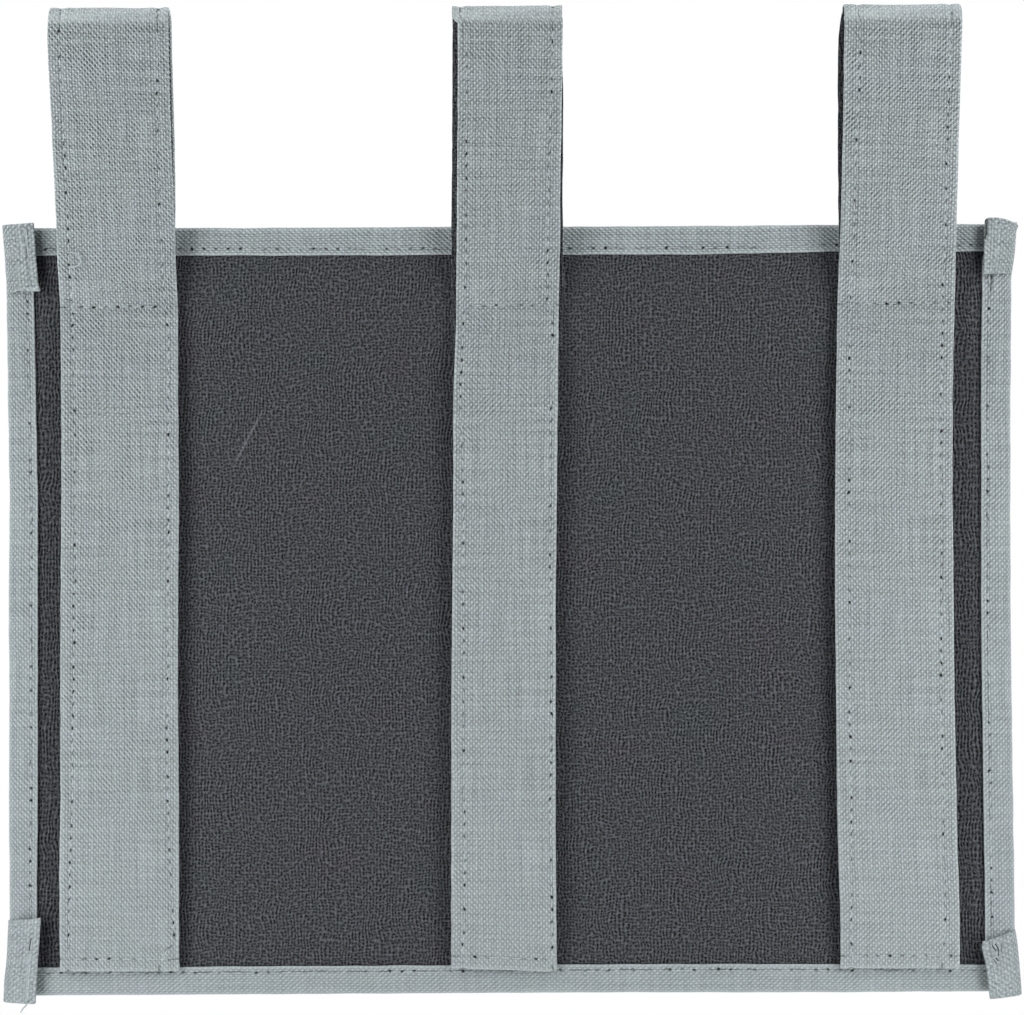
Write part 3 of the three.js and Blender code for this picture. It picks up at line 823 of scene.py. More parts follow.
def side_rows(sizes):
    """Along a side tape from its top free end: up the turned end, down the whole side, and up again.
    Each row is (height, share of the second layer, length of tape, slope of that layer's end)."""
    low_end, low_slope, low_fold, low_fold_slope = sizes["low"]
    high_end, high_slope, high_fold, high_fold_slope = sizes["high"]
    bends = [math.radians(turn) for turn in (30, 60, 90, 120, 150)]
    rows = [(z, 1) for z in even_steps(high_end, high_fold - TAB_FOLD, GRID / 3)]
    rows += [(high_fold - TAB_FOLD + TAB_FOLD * math.sin(a), (1 + math.cos(a)) / 2) for a in bends]
    rows += [(z, 0) for z in even_steps(high_fold - TAB_FOLD, low_fold + TAB_FOLD, GRID)]
    rows += [(low_fold + TAB_FOLD - TAB_FOLD * math.sin(a), (1 - math.cos(a)) / 2) for a in bends]
    rows += [(z, 1) for z in even_steps(low_fold + TAB_FOLD, low_end, GRID / 3)]
    middle = (high_fold + low_fold) / 2
    measured = []
    length = 0
    before = rows[0]
    for z, lift in rows:
        length += math.dist((z, lift), before)
        before = (z, lift)
        if z > middle:
            slope = high_fold_slope
            slope += (high_slope - high_fold_slope) * lift * smooth(high_fold, high_end, z)
        else:
            slope = low_fold_slope + (low_slope - low_fold_slope) * lift * smooth(low_fold, low_end, z)
        past_corner = max(smooth(high_fold - 8, high_fold, z), smooth(low_fold + 8, low_fold, z))
        measured.append((z, lift, length, slope * max(lift, past_corner)))
    return measured


def side_spot(sizes, seed):
    """Where a side binding runs, in its first layer and in its turned ends."""
    side = sizes["side"]
    low_end, high_end, high_fold = sizes["low"][0], sizes["high"][0], sizes["high"][2]

    def spot(row):
        z, lift, along, slope = row
        ends = max(lift, smooth(226, 240, z), smooth(12, -2, z))
        outer = from_table(sizes["outer"], z) * (1 - ends) + from_table(sizes["tab_outer"], z) * ends
        inner = from_table(sizes["inner"], z) * (1 - ends) + from_table(sizes["tab_inner"], z) * ends
        outer += 0.15 * ripple(z, 0, 9, seed)
        tucked = 1.5 * (1 - lift) * max(smooth(227, 234, z), smooth(12, 5, z))
        inner += 0.12 * ripple(z, 7, 8, seed) + tucked
        corner = max(smooth(222, 234, z), smooth(20, 8, z))
        near = -0.95 - 0.7 * corner - 0.75 * lift
        far = 4.25 + 0.6 * lift

        def turned(reach, deep, dip):
            curl = smooth(1.5, 8.5, reach) * (1 - deep)
            x = side * (outer - reach * (1 - 0.18 * deep * corner))
            up = z + slope * side * (x - side * TAB_MIDDLE)
            up += smooth(high_end + 14, high_fold, z) * from_table(sizes["brow"], side * x)
            fray = lift * max(smooth(1.3, 0, abs(z - high_end)), smooth(1.3, 0, abs(z - low_end)))
            up += 0.3 * fray * ripple(x, z, 1.1, seed)
            return x, near + deep * (far - near) + dip - 1.9 * lift * curl, up

        return along, outer - inner, turned, 3 * lift

    return spot


side_tapes = []
side_runs = {}
for seed, (name, sizes) in enumerate(SIDES.items(), start=3):
    rows = side_rows(sizes)
    if name == "right":
        rows = rows[::-1]
    tape, put_side = bind(
        name + "_binding_tape",
        rows,
        SIDE_DEPTH,
        side_spot(sizes, seed),
        name + "_binding",
        seed,
        sizes["creases"],
    )
    side_tapes.append(tape)
    side_runs[name] = put_side, rows


# Straps. Each is one hemmed strip from its bottom end up to the loop's top and back down behind, seen
# from the side as the course of its outer layer. LEAN and BACK_LEAN are how far the loop's front and back
# legs lean forward at its top, and FOLD_UP how far its fold lies above the seam across
LEAN = math.radians(16.5)
BACK_LEAN = math.radians(19)
FOLD_RADIUS = 4.8
SEAM_Y = -2.4
FOLD_UP = 84.6
FRONT_LEG = (FOLD_UP - FOLD_RADIUS * math.sin(LEAN)) / math.cos(LEAN)
FOLD_Y = SEAM_Y - FRONT_LEG * math.sin(LEAN) + FOLD_RADIUS * math.cos(LEAN)
FOLD_Z = CROSS_SEAM + FOLD_UP
OUTER_SHIFT = 0.35
# The bottom end is turned under in a tight curl, whose rows lie closer together than the rest
STRAP_END = 7.3
END_CURL = 0.6
CURL_ROWS = 12
CURL_STEP = 0.35
END_FOLD_ROW = 8


def strap_course():
    """The strip's outer layer from the side, as places (y, z) one grid step apart."""
    corners = [(-2.6, STRAP_END), (-2.6, 9), (-3.6, 26), (-3.6, 192), (SEAM_Y, 212.6), (SEAM_Y, 215.2)]
    for i in range(25):
        angle = math.pi + LEAN - (math.pi + LEAN - BACK_LEAN) * i / 24
        corners.append((FOLD_Y + FOLD_RADIUS * math.cos(angle), FOLD_Z + FOLD_RADIUS * math.sin(angle)))

    # The back leg bows a little on its way to the top binding, then runs down behind the strap
    leave_y, leave_z = corners[-1]
    foot = (-1.8, 241.1)
    bow = 18
    guides = [
        (leave_y, leave_z),
        (leave_y + bow * math.sin(BACK_LEAN), leave_z - bow * math.cos(BACK_LEAN)),
        (foot[0], foot[1] + bow),
        foot,
    ]
    for i in range(1, 17):
        t = i / 16
        weights = ((1 - t) ** 3, 3 * t * (1 - t) ** 2, 3 * t * t * (1 - t), t**3)
        corners.append(tuple(sum(w * g[k] for w, g in zip(weights, guides)) for k in (0, 1)))
    corners += [(-1.8, 229.5), (-0.95, 216.5), (-0.95, 200.3)]

    # Cloth bends softly, so each corner is eased over a few millimetres
    fine = []
    for start, end in zip(corners, corners[1:]):
        steps = max(1, round(math.dist(start, end) / 0.25))
        fine += [Vector(start).lerp(Vector(end), i / steps) for i in range(steps)]
    fine.append(Vector(corners[-1]))
    eased = []
    for i in range(len(fine)):
        reach = min(9, i, len(fine) - 1 - i)
        near = fine[i - reach : i + reach + 1]
        eased.append(sum(near, Vector((0, 0))) / len(near))
    shifted = []
    for before, here, after in zip([eased[0]] + eased, eased, eased[1:] + [eased[-1]]):
        along = (after - before).normalized()
        shifted.append(here + OUTER_SHIFT * Vector((-along.y, along.x)))
    start = shifted[0]
    curl = [start + Vector((2 * END_CURL, rise)) for rise in (2.2, 1.7, 1.2, 0.8)]
    for turn in range(0, 180, 15):
        angle = math.radians(turn)
        out, up = END_CURL + END_CURL * math.cos(angle), END_CURL - END_CURL * math.sin(angle)
        curl.append(start + Vector((out, up)))
    lead = curl + [point for point in shifted if point.y > start.y + END_CURL]

    # The rows follow at one grid step each along that course
    course = [lead[0]]
    travelled = 0
    for before, here in zip(lead, lead[1:]):
        gap = (here - before).length
        while True:
            wanted = GRID * (CURL_STEP if len(course) < CURL_ROWS else 1)
            if travelled + gap < wanted:
                break
            before = before.lerp(here, (wanted - travelled) / gap)
            gap = (here - before).length
            travelled = 0
            course.append(before)
            if gap < 1e-6:
                break
        travelled += gap
    return course


COURSE = strap_course()
OUTWARD = []
LENGTHS = [0.0]
for before, here, after in zip([COURSE[0]] + COURSE, COURSE, COURSE[1:] + [COURSE[-1]]):
    run = (after - before).normalized()
    OUTWARD.append(Vector((-run.y, run.x)))
for before, here in zip(COURSE, COURSE[1:]):
    LENGTHS.append(LENGTHS[-1] + (here - before).length)
CREST = max(range(len(COURSE)), key=lambda i: COURSE[i].y)
SEAM_ROW = min(range(CREST), key=lambda i: abs(COURSE[i].y - CROSS_SEAM))
BOTTOM_ROW = min(range(CURL_ROWS, CREST), key=lambda i: abs(COURSE[i].y - BOTTOM_SEAM))

# By height, where each strip's edges lie in front and behind, and how far in its hem seams are: the strips
# are a little askew and their hems wander. end gives the bottom end's height across the strip
STRAPS = {
    "left": {
        "left": [
            (7, -140.5), (30, -140.4), (45, -140.3), (61, -139.9), (92, -139.8), (123, -139.6),
            (154, -139.2), (185, -139.05), (202, -139.25), (228, -139.7), (240, -139.45), (293, -139.35),
            (301, -138.9),
        ],
        "right": [
            (11, -103.8), (45, -103.6), (61, -103.55), (92, -103.7), (123, -103.5), (154, -103.1),
            (202, -103.2), (240, -103.5), (270, -103.45), (301, -103.1),
        ],
        "back_left": [(200, -139.6), (301, -138.9)],
        "back_right": [(200, -104.0), (243, -104.0), (262, -103.7), (280, -103.5), (301, -103.1)],
        "left_seam": [
            (7, 2.5), (23, 2.6), (31, 2.9), (56, 3.4), (64, 3.6), (85, 3.6), (91, 3.8), (123, 3.9),
            (130, 4.2), (163, 4), (185, 3.9), (229, 3.4), (300, 3.3),
        ],
        "right_seam": [
            (10.5, 6), (17, 0.8), (21, 1.4), (38, 2.4), (41, 2.6), (58, 3.1), (68, 3.4), (98, 2.9),
            (166, 2.9), (207, 2.7), (216, 3.8), (240, 4.1), (265, 3.9), (290, 3.1), (300, 3),
        ],
        "end": [(-141, 7.5), (-104, 7.35)],
    },
    "middle": {
        "left": [
            (10, -18.55), (45, -18.4), (60, -18.3), (91, -18.15), (122, -17.7), (153, -17.25),
            (185, -17.1), (200, -16.5), (209, -16.1), (222, -16.0), (234, -15.65), (252, -15.4),
            (270, -15.0), (287, -14.8), (301, -14.7),
        ],
        "right": [
            (10, 13.8), (45, 13.65), (91, 13.85), (122, 14.0), (153, 14.5), (185, 14.95), (209, 15.3),
            (234, 15.8), (252, 15.9), (270, 16.2), (287, 16.55), (301, 16.7),
        ],
        "back_left": [(200, -17.4), (210, -17.85), (241, -17.7), (270, -17.2), (301, -16.75)],
        "back_right": [
            (200, 16.9), (241, 17.1), (247, 17.0), (259, 17.2), (277, 17.25), (290, 16.9), (301, 16.6),
        ],
        "left_seam": [
            (11, 3.4), (15, 3.3), (20, 3.8), (29, 4), (50, 3.9), (67, 3.6), (99, 3.6), (107, 3.5),
            (124, 3.2), (127, 3), (155, 3), (172, 2.5), (180, 2.1), (193, 1.9), (204, 1.95), (212, 2.3),
            (227, 2.75), (240, 2.5), (300, 2.5),
        ],
        "right_seam": [
            (11, 1.1), (21, 1.1), (39, 1.2), (43, 1.3), (55, 1.5), (97, 1), (104, 1.2), (122, 1.2),
            (137, 1.8), (153, 1.7), (161, 1.9), (188, 1.9), (194, 1.6), (212, 1.6), (214.5, 3.6),
            (222, 3.3), (234, 3.6), (245, 3.4), (258, 3.3), (270, 3), (300, 2.9),
        ],
        "end": [(-18.6, 7.9), (13.8, 6.6)],
    },
    "right": {
        "left": [
            (10, 102.75), (28, 102.5), (44, 102.0), (60, 101.75), (91, 101.6), (122, 101.4), (153, 101.6),
            (184, 102.0), (201, 102.4), (215, 102.75), (241, 103.1), (269, 102.95), (287, 102.65),
            (301, 102.4),
        ],
        "right": [
            (10, 139.45), (28, 139.2), (44, 138.7), (60, 138.45), (91, 138.0), (122, 137.8), (153, 137.65),
            (184, 137.8), (201, 138.2), (215, 138.8), (241, 138.3), (269, 138.05), (301, 137.7),
        ],
        "back_left": [
            (200, 103.0), (241, 103.1), (251, 102.9), (269, 102.4), (287, 101.75), (295, 101.7),
            (299, 102.0), (302, 102.4),
        ],
        "back_right": [(200, 138.6), (301, 137.7)],
        "left_seam": [
            (12, 3.2), (16, 2.9), (33, 3.6), (54, 4.1), (62, 4.2), (66, 4), (80, 4), (85, 3.7), (99, 4),
            (116, 4.2), (137, 4.2), (161, 4), (176, 3.9), (190, 3.7), (200, 3.6), (234, 3.9), (265, 3.8),
            (280, 4.6), (284, 4.7), (295, 4.4),
        ],
        "right_seam": [
            (10.3, 5.4), (17, 4.5), (26, 4.1), (38, 4.2), (43, 4.2), (72, 3.9), (92, 4), (116, 3.6),
            (137, 3.4), (153, 3.3), (178, 3.5), (190, 3.4), (206, 3.3), (214, 3.7), (223, 3.3), (235, 3.2),
            (255, 3.4), (270, 3.4), (284, 3.2), (300, 3.1),
        ],
        "end": [(103, 7.35), (140, 7.2)],
    },
}
FLAP = 5.1
FLAP_PAST_SEAM = 1.7
# Thread ends left uncut: the points each lies through, and the way it faces
LOOSE_ENDS = {
    "left": [
        (
            [
                (-136.6, -8.7, 230.6), (-135.2, -8.9, 230.7), (-133.6, -8.9, 230.2), (-132.6, -8.6, 229.0),
                (-132.4, -8.3, 227.8), (-133.3, -8.0, 226.7), (-134.9, -7.8, 226.2), (-136.3, -7.4, 226.5),
            ],
            (0, -1, 0),
        ),
    ],
    "right": [
        ([(106.1, -2.9, 11.8), (106.4, -2.95, 10.2), (106.1, -2.9, 8.7), (106.0, -2.7, 7.2)], (0, -1, 0)),
    ],
}


def strap_section(width):
    """Stations across a strip, hem to hem: (share of the width, step from there, step inwards, which
    hem's flap the step belongs to)."""
    hem = HEM_RADIUS
    left = [(0, reach, 2 * hem, -1) for reach in (FLAP, 3.9, 2.7, 1.5, 0.5, 0)]
    left += [
        (0, hem - hem * math.sin(a), hem + hem * math.cos(a), 0) for a in map(math.radians, (45, 90, 135))
    ]
    near = [0, 0.7, 1.3, 1.9, 2.4, 2.9, 3.4, 3.9, 4.5, 5.2, 6.1]
    middle = even_steps(near[-1] / width, 1 - near[-1] / width, 1.5 / width)[1:-1]
    shares = [d / width for d in near] + middle + [1 - d / width for d in reversed(near)]
    face = [(share, hem * (1 - 2 * share), 0, 0) for share in shares]
    right = [(1, -step, dip, -flap) for _, step, dip, flap in reversed(left)]
    return left + face + right


def strap_maker(name, sizes, seed):
    """put for one strip, whose rows are places of the course."""

    def edges(row):
        z = COURSE[row].y
        right_behind = smooth(CREST - 1, CREST + 3, row)
        # The middle and right loops twist: their left edges step to the back leg's place before the crest,
        # which leaves a dark slit with a pointed top beside the front leg
        left_behind = right_behind if name == "left" else smooth(CREST - 8.4, CREST - 7.6, row)
        left = from_table(sizes["left"], z) * (1 - left_behind)
        left += from_table(sizes["back_left"], z) * left_behind
        right = from_table(sizes["right"], z) * (1 - right_behind)
        right += from_table(sizes["back_right"], z) * right_behind
        left += 0.12 * ripple(LENGTHS[row], 0, 6, seed)
        right += 0.12 * ripple(LENGTHS[row], 9, 6, seed)
        return left, right, left_behind

    def put(row, station):
        share, step, dip, flap = station
        z = COURSE[row].y
        along = LENGTHS[row]
        left, right, behind = edges(row)
        width = right - left
        left_seam = from_table(sizes["left_seam"], z)
        right_seam = from_table(sizes["right_seam"], z)
        # Behind, these edges are pressed so flat that their hems don't show
        flattened = behind > 0.5 and (name == "middle" or name == "right" and share < 0.5)
        if flattened and dip:
            step, dip = (1 - 2 * share) * (0.24 - 0.04 * (abs(step) if flap else -dip / 4)), 0
        elif flap < 0:
            step = HEM_RADIUS + step * (left_seam + FLAP_PAST_SEAM) / FLAP
        elif flap > 0:
            step = -HEM_RADIUS + step * (right_seam + FLAP_PAST_SEAM) / FLAP
        x = (1 - share) * left + share * right + step
        from_left, from_right = x - left - left_seam, right - x - right_seam
        from_bottom = along - LENGTHS[BOTTOM_ROW]
        seams = [
            (abs(from_left), from_bottom + SEAMS_APART * seed, from_left),
            (abs(from_right), from_bottom + SEAMS_APART * (seed + 9), from_right),
        ]
        for seam_row, count in ((SEAM_ROW, 5), (BOTTOM_ROW, 7)):
            off = along - LENGTHS[seam_row]
            seams.append((abs(off), x + SEAMS_APART * (seed + count), off))
        (nearest, stitch, off), (next_nearest, _, _) = sorted(seams)[:2]
        marks = NO_SEAM if next_nearest - nearest < 0.7 else 0
        beat = 0.5 + 0.5 * math.cos(2 * math.pi * stitch / STITCH)
        pull = mound(off, 0.8) * (0.2 + 0.1 * beat)
        free = smooth(0, 9, abs(along - LENGTHS[SEAM_ROW])) * smooth(0, 14, from_bottom)
        wave = free * (0.28 * ripple(x, along, 26, seed + 0.5) + 0.1 * ripple(x, along, 9, seed + 0.7))
        wave -= 0.12 * mound(abs(off) - 2.2, 1.2)
        inwards = dip + pull + wave
        y, height = COURSE[row] - inwards * OUTWARD[row]
        ending = smooth(34, 9, z) * (row < CREST)
        height += ending * (from_table(sizes["end"], x) - STRAP_END)
        # Painted highlights: the hems' edges and the curled bottom end are painted pale for the light their
        # bends catch; the loop's crest is paler partly as a painted highlight and partly as weave pressed
        # flat
        hem_edge_highlight = max(mound(x - left, 0.3), mound(right - x, 0.3)) * (dip < 0.5)
        crest_press_and_highlight = smooth(9.5, 7, abs(row - CREST)) * 0.9
        end_curl_highlight = mound(along - LENGTHS[END_FOLD_ROW], 0.8)
        across = (share - 0.5) * width + step * (1 if flap == 0 else -1)
        return (x, y, height), (across, along), (stitch, off + marks), max(hem_edge_highlight, crest_press_and_highlight, end_curl_highlight)

    return put, edges


for seed, (name, sizes) in enumerate(STRAPS.items(), start=5):
    width = from_table(sizes["right"], 150) - from_table(sizes["left"], 150)
    put_strap, strap_edges = strap_maker(name, sizes, seed)
    strap = lay_cloth(
        name + "_strap_and_loop",
        range(len(COURSE)),
        strap_section(width),
        put_strap,
        CLOTH_PLY,
        [strap_cloth[name], coating],
    )
    runs = []
    for share, key in ((0, "left_seam"), (1, "right_seam")):
        run = []
        for row in range(BOTTOM_ROW, len(COURSE) - 1, ROWS_TO_A_STITCH):
            inset = from_table(sizes[key], COURSE[row].y)
            station = (share, inset if share == 0 else -inset, -CLOTH_PLY / 2 - 0.05, 0)
            place, _, _, _ = put_strap(row, station)
            outward = Vector((0, OUTWARD[row].x, OUTWARD[row].y))
            run.append((placed(*place), outward))
        runs.append(run)
    for seam_row in (SEAM_ROW, BOTTOM_ROW):
        left, right, _ = strap_edges(seam_row)
        inset = from_table(sizes["left_seam"], COURSE[seam_row].y)
        run = []
        for count in range(math.ceil((left + inset) / STITCH), math.floor((right - inset) / STITCH) + 1):
            x = count * STITCH
            station = ((x - left) / (right - left), 0, -CLOTH_PLY / 2 - 0.1, 0)
            place, _, _, _ = put_strap(seam_row, station)
            run.append((placed(*place), Vector((0, -1, 0))))
        runs.append(run)
    loose = [loose_end(*end) for end in LOOSE_ENDS.get(name, ())]
    threads = sew(name + "_strap_thread", runs, loose)
    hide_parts(name + "_strap", name + "_loop")
    for piece in (strap, threads):
        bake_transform(piece)

# Pockets: a main pocket across the whole panel, and three small ones in a row on it. MAIN_EDGE is where its
# face meets the side bindings, and MAIN_RAMP how far in from there it takes to stand fully open. Each sheet
# is laid in the middle of the wall that its pocket has in the CAD
POCKET_WALL = 0.6
HALF_WALL = 0.3
MAIN_HEIGHT = 190
MAIN_EDGE = 147.6
MAIN_RAMP = 32
MAIN_BULGE = 10
MAIN_FOOT = 2.0
MAIN_RISE_FROM = 8.2
POCKET_PLY = 0.5
POCKET_WIDTH = 86
POCKET_PITCH = 94
POCKET_LOW = 17
POCKET_HEIGHT = 110
POCKET_DEPTH = 18
POCKET_CORNER = 10
POCKET_CROWN = 2.4
POCKET_SEAM = 2.3
POCKET_STEP = 1.6
GUSSET_PLEAT = 4
GUSSET_FOOT = 0.9
GUSSET_BEND = 8
GUSSET_DEPTHS = (
    0, 0.06, 0.12, 0.2, 0.28, 0.36, 0.43, 0.47, 0.5, 0.53, 0.57, 0.64, 0.72, 0.8, 0.88, 0.94, 1,
)
# How far a mouth's tape rises over the cloth's edge, and how far short of a small pocket's corners it ends
MOUTH_RISE = 0.75
MOUTH_SHORT = 1.9


def main_face(x, z):
    """The inner face of the main pocket, which stands open towards its mouth."""
    across = smooth(0, 1, (MAIN_EDGE - abs(x)) / MAIN_RAMP)
    rise = min(max((z - MAIN_RISE_FROM) / (MAIN_HEIGHT - MAIN_RISE_FROM), 0), 1)
    return MAIN_FOOT + MAIN_BULGE * across * math.sin(rise * math.pi / 2)


def main_wrinkle(x, z):
    """Soft folds that hang from the mouth between the small pockets, and slack beside the seams."""
    loose = smooth(0, 24, min(z - 8, 147 - abs(x)))
    hang = 0.5 * ripple(x, z * 0.35, 17, 21.3) + 0.5 * ripple(x, z, 33, 22.9)
    return loose * hang * (0.5 + 0.5 * z / MAIN_HEIGHT)


def put_main(z, x):
    y = main_face(x, z) + HALF_WALL + main_wrinkle(x, z)
    return (x, y, z), (x, z), (0, NO_SEAM), 0


main_pocket = lay_cloth(
    "main_pocket_sheet",
    even_steps(0, MAIN_HEIGHT, 2 * GRID),
    even_steps(PANEL_HALF, -PANEL_HALF, 2 * GRID),
    put_main,
    POCKET_PLY,
    [strap_cloth["middle"], coating],
)
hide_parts("main_pocket")
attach(main_pocket, "panel")


def mouth_spot(face, mouth, wrinkle):
    """Where a pocket mouth's tape runs: x along it, reach down from the mouth."""

    def spot(x):
        def turned(reach, deep, dip):
            z = mouth + MOUTH_RISE - reach
            middle = face(x, z) + HALF_WALL + wrinkle(x, min(z, mouth))
            return x, middle - MOUTH_DEPTH / 2 + deep * MOUTH_DEPTH + dip, z

        return x, TAPE_LEG, turned, 0

    return spot


main_rows = [-x for x in even_steps(-PANEL_HALF, PANEL_HALF, GRID)]
main_tape, put_main_tape = bind(
    "main_pocket_mouth_tape",
    main_rows,
    MOUTH_DEPTH,
    mouth_spot(main_face, MAIN_HEIGHT, main_wrinkle),
    "main_pocket_binding",
    11,
)


def pocket_half(z):
    """Half the small pocket's width at a height, rounded at its lower corners."""
    short = POCKET_CORNER - min(z - POCKET_LOW, POCKET_CORNER)
    return POCKET_WIDTH / 2 - POCKET_CORNER + math.sqrt(max(POCKET_CORNER**2 - short**2, 0))


def gusset_course(centre):
    """The gusset's line round three sides of a small pocket, as (x, z, the way inwards in degrees)."""
    turn, top = POCKET_LOW + POCKET_CORNER, POCKET_LOW + POCKET_HEIGHT
    left, right = centre - POCKET_WIDTH / 2, centre + POCKET_WIDTH / 2
    course = [(left, z, 0) for z in even_steps(top, turn, POCKET_STEP)]
    for angle in range(180 + GUSSET_BEND, 270, GUSSET_BEND):
        a = math.radians(angle)
        x = left + POCKET_CORNER * (1 + math.cos(a))
        course.append((x, turn + POCKET_CORNER * math.sin(a), angle - 180))
    across = even_steps(left + POCKET_CORNER, right - POCKET_CORNER, POCKET_STEP)
    course += [(x, POCKET_LOW, 90) for x in across]
    for angle in range(270 + GUSSET_BEND, 360, GUSSET_BEND):
        a = math.radians(angle)
        x = right - POCKET_CORNER * (1 - math.cos(a))
        course.append((x, turn + POCKET_CORNER * math.sin(a), angle - 180))
    return course + [(right, z, 180) for z in even_steps(turn, top, POCKET_STEP)]


# A small pocket's front, from side to side: its upright rows crowd together where it rolls into the gusset
FRONT_ROUND = math.sin(math.radians(80))
FRONT_SHARES = [
    math.sin(math.radians(a)) if abs(a) > 80 else a / 80 * FRONT_ROUND
    for a in (-90, -85, *range(-80, 81, 3), 85, 90)
]

tapes = [(tape, "back_panel_sheet") for tape in (top_tape, bottom_tape, *side_tapes)]
tapes.append((main_tape, "main_pocket_sheet"))
for seed, (name, place) in enumerate((("left", -1), ("middle", 0), ("right", 1)), start=13):
    centre = place * POCKET_PITCH

    def pocket_face(x, z, centre=centre):
        """The inner face of the small pocket's front."""
        across = 1 - (2 * (x - centre) / POCKET_WIDTH) ** 2
        rise = (z - POCKET_LOW) / POCKET_HEIGHT
        crown = POCKET_CROWN * across * math.sin(rise * math.pi / 2)
        return main_face(x, z) + POCKET_WALL + HALF_WALL + POCKET_DEPTH + HALF_WALL + crown

    def pocket_wrinkle(x, z, centre=centre, seed=seed):
        """Slack in the front: soft upright folds, and pulls from the two lower corners."""
        half = POCKET_WIDTH / 2
        from_side = half - abs(x - centre)
        loose = smooth(0, 12, from_side) * smooth(0, 12, z - POCKET_LOW)
        hang = 0.9 * ripple(x, z * 0.4, 16, seed) + 0.6 * ripple(x, z, 30, seed + 0.4)
        corner = math.dist((abs(x - centre), z), (half - 6, POCKET_LOW + 6))
        pull = 0.7 * mound(corner - 11, 4) - 0.5 * mound(corner - 19, 4)
        return loose * (hang + pull)

    def put_front(z, share, centre=centre):
        half = pocket_half(z)
        x = centre - half * share
        from_edge = min(half - abs(x - centre), z - POCKET_LOW)
        roll = 1.1 * mound(from_edge, 1.1)
        pull = 0.25 * mound(from_edge - POCKET_SEAM, 0.9)
        y = pocket_face(x, z) + HALF_WALL + pocket_wrinkle(x, z) - roll - pull
        # Its rolled edge is painted pale, a painted highlight on the bend
        return (x, y, z), (x - centre, z), (z + x, from_edge - POCKET_SEAM), 0.6 * mound(from_edge, 1)

    rounded = [POCKET_LOW + POCKET_CORNER * (1 - math.cos(math.radians(a))) for a in range(0, 90, 6)]
    heights = rounded + even_steps(POCKET_LOW + POCKET_CORNER, POCKET_LOW + POCKET_HEIGHT, POCKET_STEP)
    front = lay_cloth(
        name + "_pocket_front_sheet",
        heights,
        FRONT_SHARES,
        put_front,
        POCKET_PLY,
        [strap_cloth["middle"], coating],
    )
    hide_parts(name + "_pocket_front")
    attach(front, "panel")

    course = gusset_course(centre)
    travel = [0]
    for before, here in zip(course, course[1:]):
        travel.append(travel[-1] + math.dist(before[:2], here[:2]))
    gusset_rows = [(x, z, angle, along) for (x, z, angle), along in zip(course, travel)]

    def put_gusset(row, deep, seed=seed):
        x, z, angle, along = row
        pleat = GUSSET_PLEAT * (1 - abs(2 * deep - 1)) ** 0.8
        uneven = 0.35 * ripple(along, deep * POCKET_DEPTH, 9, seed + 2)
        pleat *= 1 + 0.12 * ripple(along, 0, 22, seed + 3)
        inset = HALF_WALL + pleat + uneven * smooth(0, 0.2, min(deep, 1 - deep))
        a = math.radians(angle)
        x, z = x + inset * math.cos(a), z + inset * math.sin(a)
        y = main_face(x, z) + GUSSET_FOOT + deep * POCKET_DEPTH
        # The gusset's pleat folds are painted pale, a painted highlight on their bends
        pleat_highlight = max(mound(deep - 0.5, 0.05), mound(deep, 0.05), mound(deep - 1, 0.05))
        return (x, y, z), (deep * POCKET_DEPTH, along), (along, NO_SEAM), 0.7 * pleat_highlight

    gusset = lay_cloth(
        name + "_pocket_gusset_sheet",
        gusset_rows,
        GUSSET_DEPTHS,
        put_gusset,
        POCKET_PLY,
        [strap_cloth["middle"], coating],
    )
    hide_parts(name + "_pocket_gusset")
    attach(gusset, "panel")

    mouth_half = POCKET_WIDTH / 2 - MOUTH_SHORT
    mouth_rows = even_steps(centre + mouth_half, centre - mouth_half, GRID)
    mouth_tape, put_mouth = bind(
        name + "_pocket_mouth_tape",
        mouth_rows,
        MOUTH_DEPTH,
        mouth_spot(pocket_face, POCKET_LOW + POCKET_HEIGHT, pocket_wrinkle),
        name + "_pocket_binding",
        seed + 6,
    )
    tapes.append((mouth_tape, name + "_pocket_front_sheet"))
    threads = sew(name + "_pocket_thread", [seam_run(put_mouth, mouth_rows, deep) for deep in (0, 1)])
    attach(threads, "panel")

seams = [
    ("top_binding_thread", put_top, top_rows),
    ("bottom_binding_thread", put_bottom, bottom_rows),
    ("left_binding_thread", *side_runs["left"]),
    ("right_binding_thread", *side_runs["right"]),
    ("main_pocket_thread", put_main_tape, main_rows),
]
TAPE_END = [(-151.0, -2.0, -2.2), (-151.4, -2.1, -3.4), (-152.3, -2.1, -4.3), (-153.3, -2.0, -5.9)]
for name, put_tape, rows in seams:
    loose = [loose_end(TAPE_END, (0, -1, 0))] if name == "left_binding_thread" else []
    threads = sew(name, [seam_run(put_tape, rows, deep) for deep in (0, 1)], loose)
    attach(threads, "panel")

# Floor, daylight and soft boxes. Their sizes and places are in metres from here on, but for placed()
FLOOR_RADIUS = 1.6
FLOOR_DROP = 0.46


def seen_directly(tree):
    """1 on the rays that show white paper or sky to the camera, straight, mirrored or through something,
    and 0 on those that light the caddy."""
    ray = node(tree, "ShaderNodeLightPath")
    camera_ray, glossy_ray, through_ray = (
        ray.outputs[kind] for kind in ("Is Camera Ray", "Is Glossy Ray", "Is Transmission Ray")
    )
    seen = node(tree, "ShaderNodeMath", {0: camera_ray, 1: glossy_ray}, operation="MAXIMUM")
    return node(tree, "ShaderNodeMath", {0: seen, 1: through_ray}, operation="MAXIMUM")


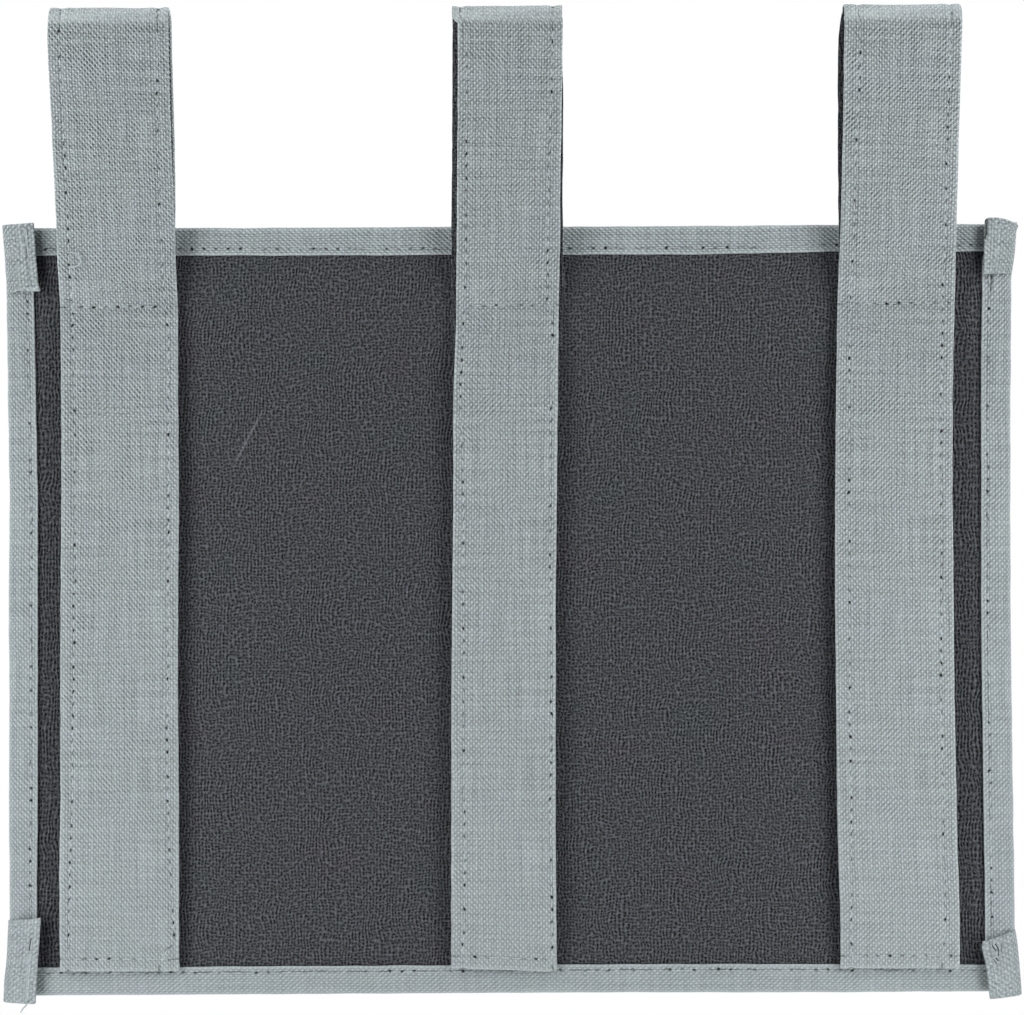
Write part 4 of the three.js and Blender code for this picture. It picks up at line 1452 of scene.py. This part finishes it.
floor_mesh = bmesh.new()
bmesh.ops.create_circle(floor_mesh, cap_ends=True, segments=96, radius=FLOOR_RADIUS)
bmesh.ops.translate(floor_mesh, verts=floor_mesh.verts, vec=(0, 0, cad_low.z - FLOOR_DROP))
floor_data = bpy.data.meshes.new("studio_floor")
floor_mesh.to_mesh(floor_data)
floor_mesh.free()
floor = bpy.data.objects.new("studio_floor", floor_data)
bpy.context.scene.collection.objects.link(floor)
# Matte white paper under the caddy: it keeps the shadow and melts into the white behind it further out
paper = finish("matte_white_paper", 0.9, 0.0, 0.2)
paper_tree = paper.node_tree
paper_shader = paper_tree.nodes["Principled BSDF"]
paper_shader.inputs["Base Color"].default_value = linear("f4f4f4")
paper_place = node(paper_tree, "ShaderNodeTexCoord")
paper_flat = node(
    paper_tree,
    "ShaderNodeVectorMath",
    {0: paper_place.outputs["Object"], 1: (1, 1, 0)},
    operation="MULTIPLY",
)
paper_far = node(paper_tree, "ShaderNodeVectorMath", {0: paper_flat}, operation="LENGTH")
paper_fade = node(
    paper_tree,
    "ShaderNodeMapRange",
    {"Value": paper_far, "From Min": 0.45, "From Max": 1.2},
    interpolation_type="SMOOTHSTEP",
)
paper_glow = node(paper_tree, "ShaderNodeEmission", {"Color": (1, 1, 1, 1), "Strength": 1.0})
paper_white = node(
    paper_tree,
    "ShaderNodeMath",
    {0: paper_fade, 1: seen_directly(paper_tree)},
    operation="MULTIPLY",
)
paper_mix = node(paper_tree, "ShaderNodeMixShader", {0: paper_white, 1: paper_shader, 2: paper_glow})
paper_tree.links.new(paper_mix.outputs[0], paper_tree.nodes["Material Output"].inputs["Surface"])
floor_data.materials.append(paper)

world = bpy.data.worlds.new("studio")
bpy.context.scene.world = world
world.use_nodes = True
sky = world.node_tree
sky.nodes.clear()
fill = node(sky, "ShaderNodeBackground", {"Color": (1, 1, 1, 1), "Strength": 0.03})
white = node(sky, "ShaderNodeBackground", {"Color": (1, 1, 1, 1), "Strength": 1.0})
either = node(sky, "ShaderNodeMixShader", {0: seen_directly(sky), 1: fill, 2: white})
node(sky, "ShaderNodeOutputWorld", {"Surface": either})


def soft_box(name, place, aim, width, height, power):
    """A soft light of its own width and height, in metres, and power in watts."""
    lamp = bpy.data.lights.new(name, "AREA")
    lamp.shape = "RECTANGLE"
    lamp.size = width
    lamp.size_y = height
    lamp.energy = power
    holder = bpy.data.objects.new(name, lamp)
    holder.location = place
    holder.rotation_euler = (Vector(aim) - Vector(place)).to_track_quat("-Z", "Y").to_euler()
    bpy.context.scene.collection.objects.link(holder)


MIDDLE = placed(0, 0, 110)
for side in (-1, 1):
    name = "left" if side < 0 else "right"
    beside = placed(390 * side, -300, 140)
    soft_box("strip_box_" + name, beside, placed(0, 0, 140), 0.24, 1.0, 2.98 - 0.08 * side)
    behind = placed(650 * side, 750, 450)
    soft_box("soft_box_behind_" + name, behind, MIDDLE, 0.7, 0.7, 9)
soft_box("soft_box_above", placed(0, -60, 1250), MIDDLE, 1.0, 0.4, 8.4)

# Camera, square on to the strap side and 0.9 m from it, turned by a quarter of a degree
CAMERA_PLACE = placed(0.78, -900, 151.1)
CAMERA_TURN = math.radians(0.27)
camera = bpy.data.cameras.new("camera")
camera.sensor_width = 36
camera.lens = 101.25
holder = bpy.data.objects.new("camera", camera)
holder.location = CAMERA_PLACE
holder.rotation_euler = (math.radians(90), CAMERA_TURN, 0)
bpy.context.scene.collection.objects.link(holder)
bpy.context.scene.camera = holder

bpy.context.scene.view_settings.view_transform = "Standard"
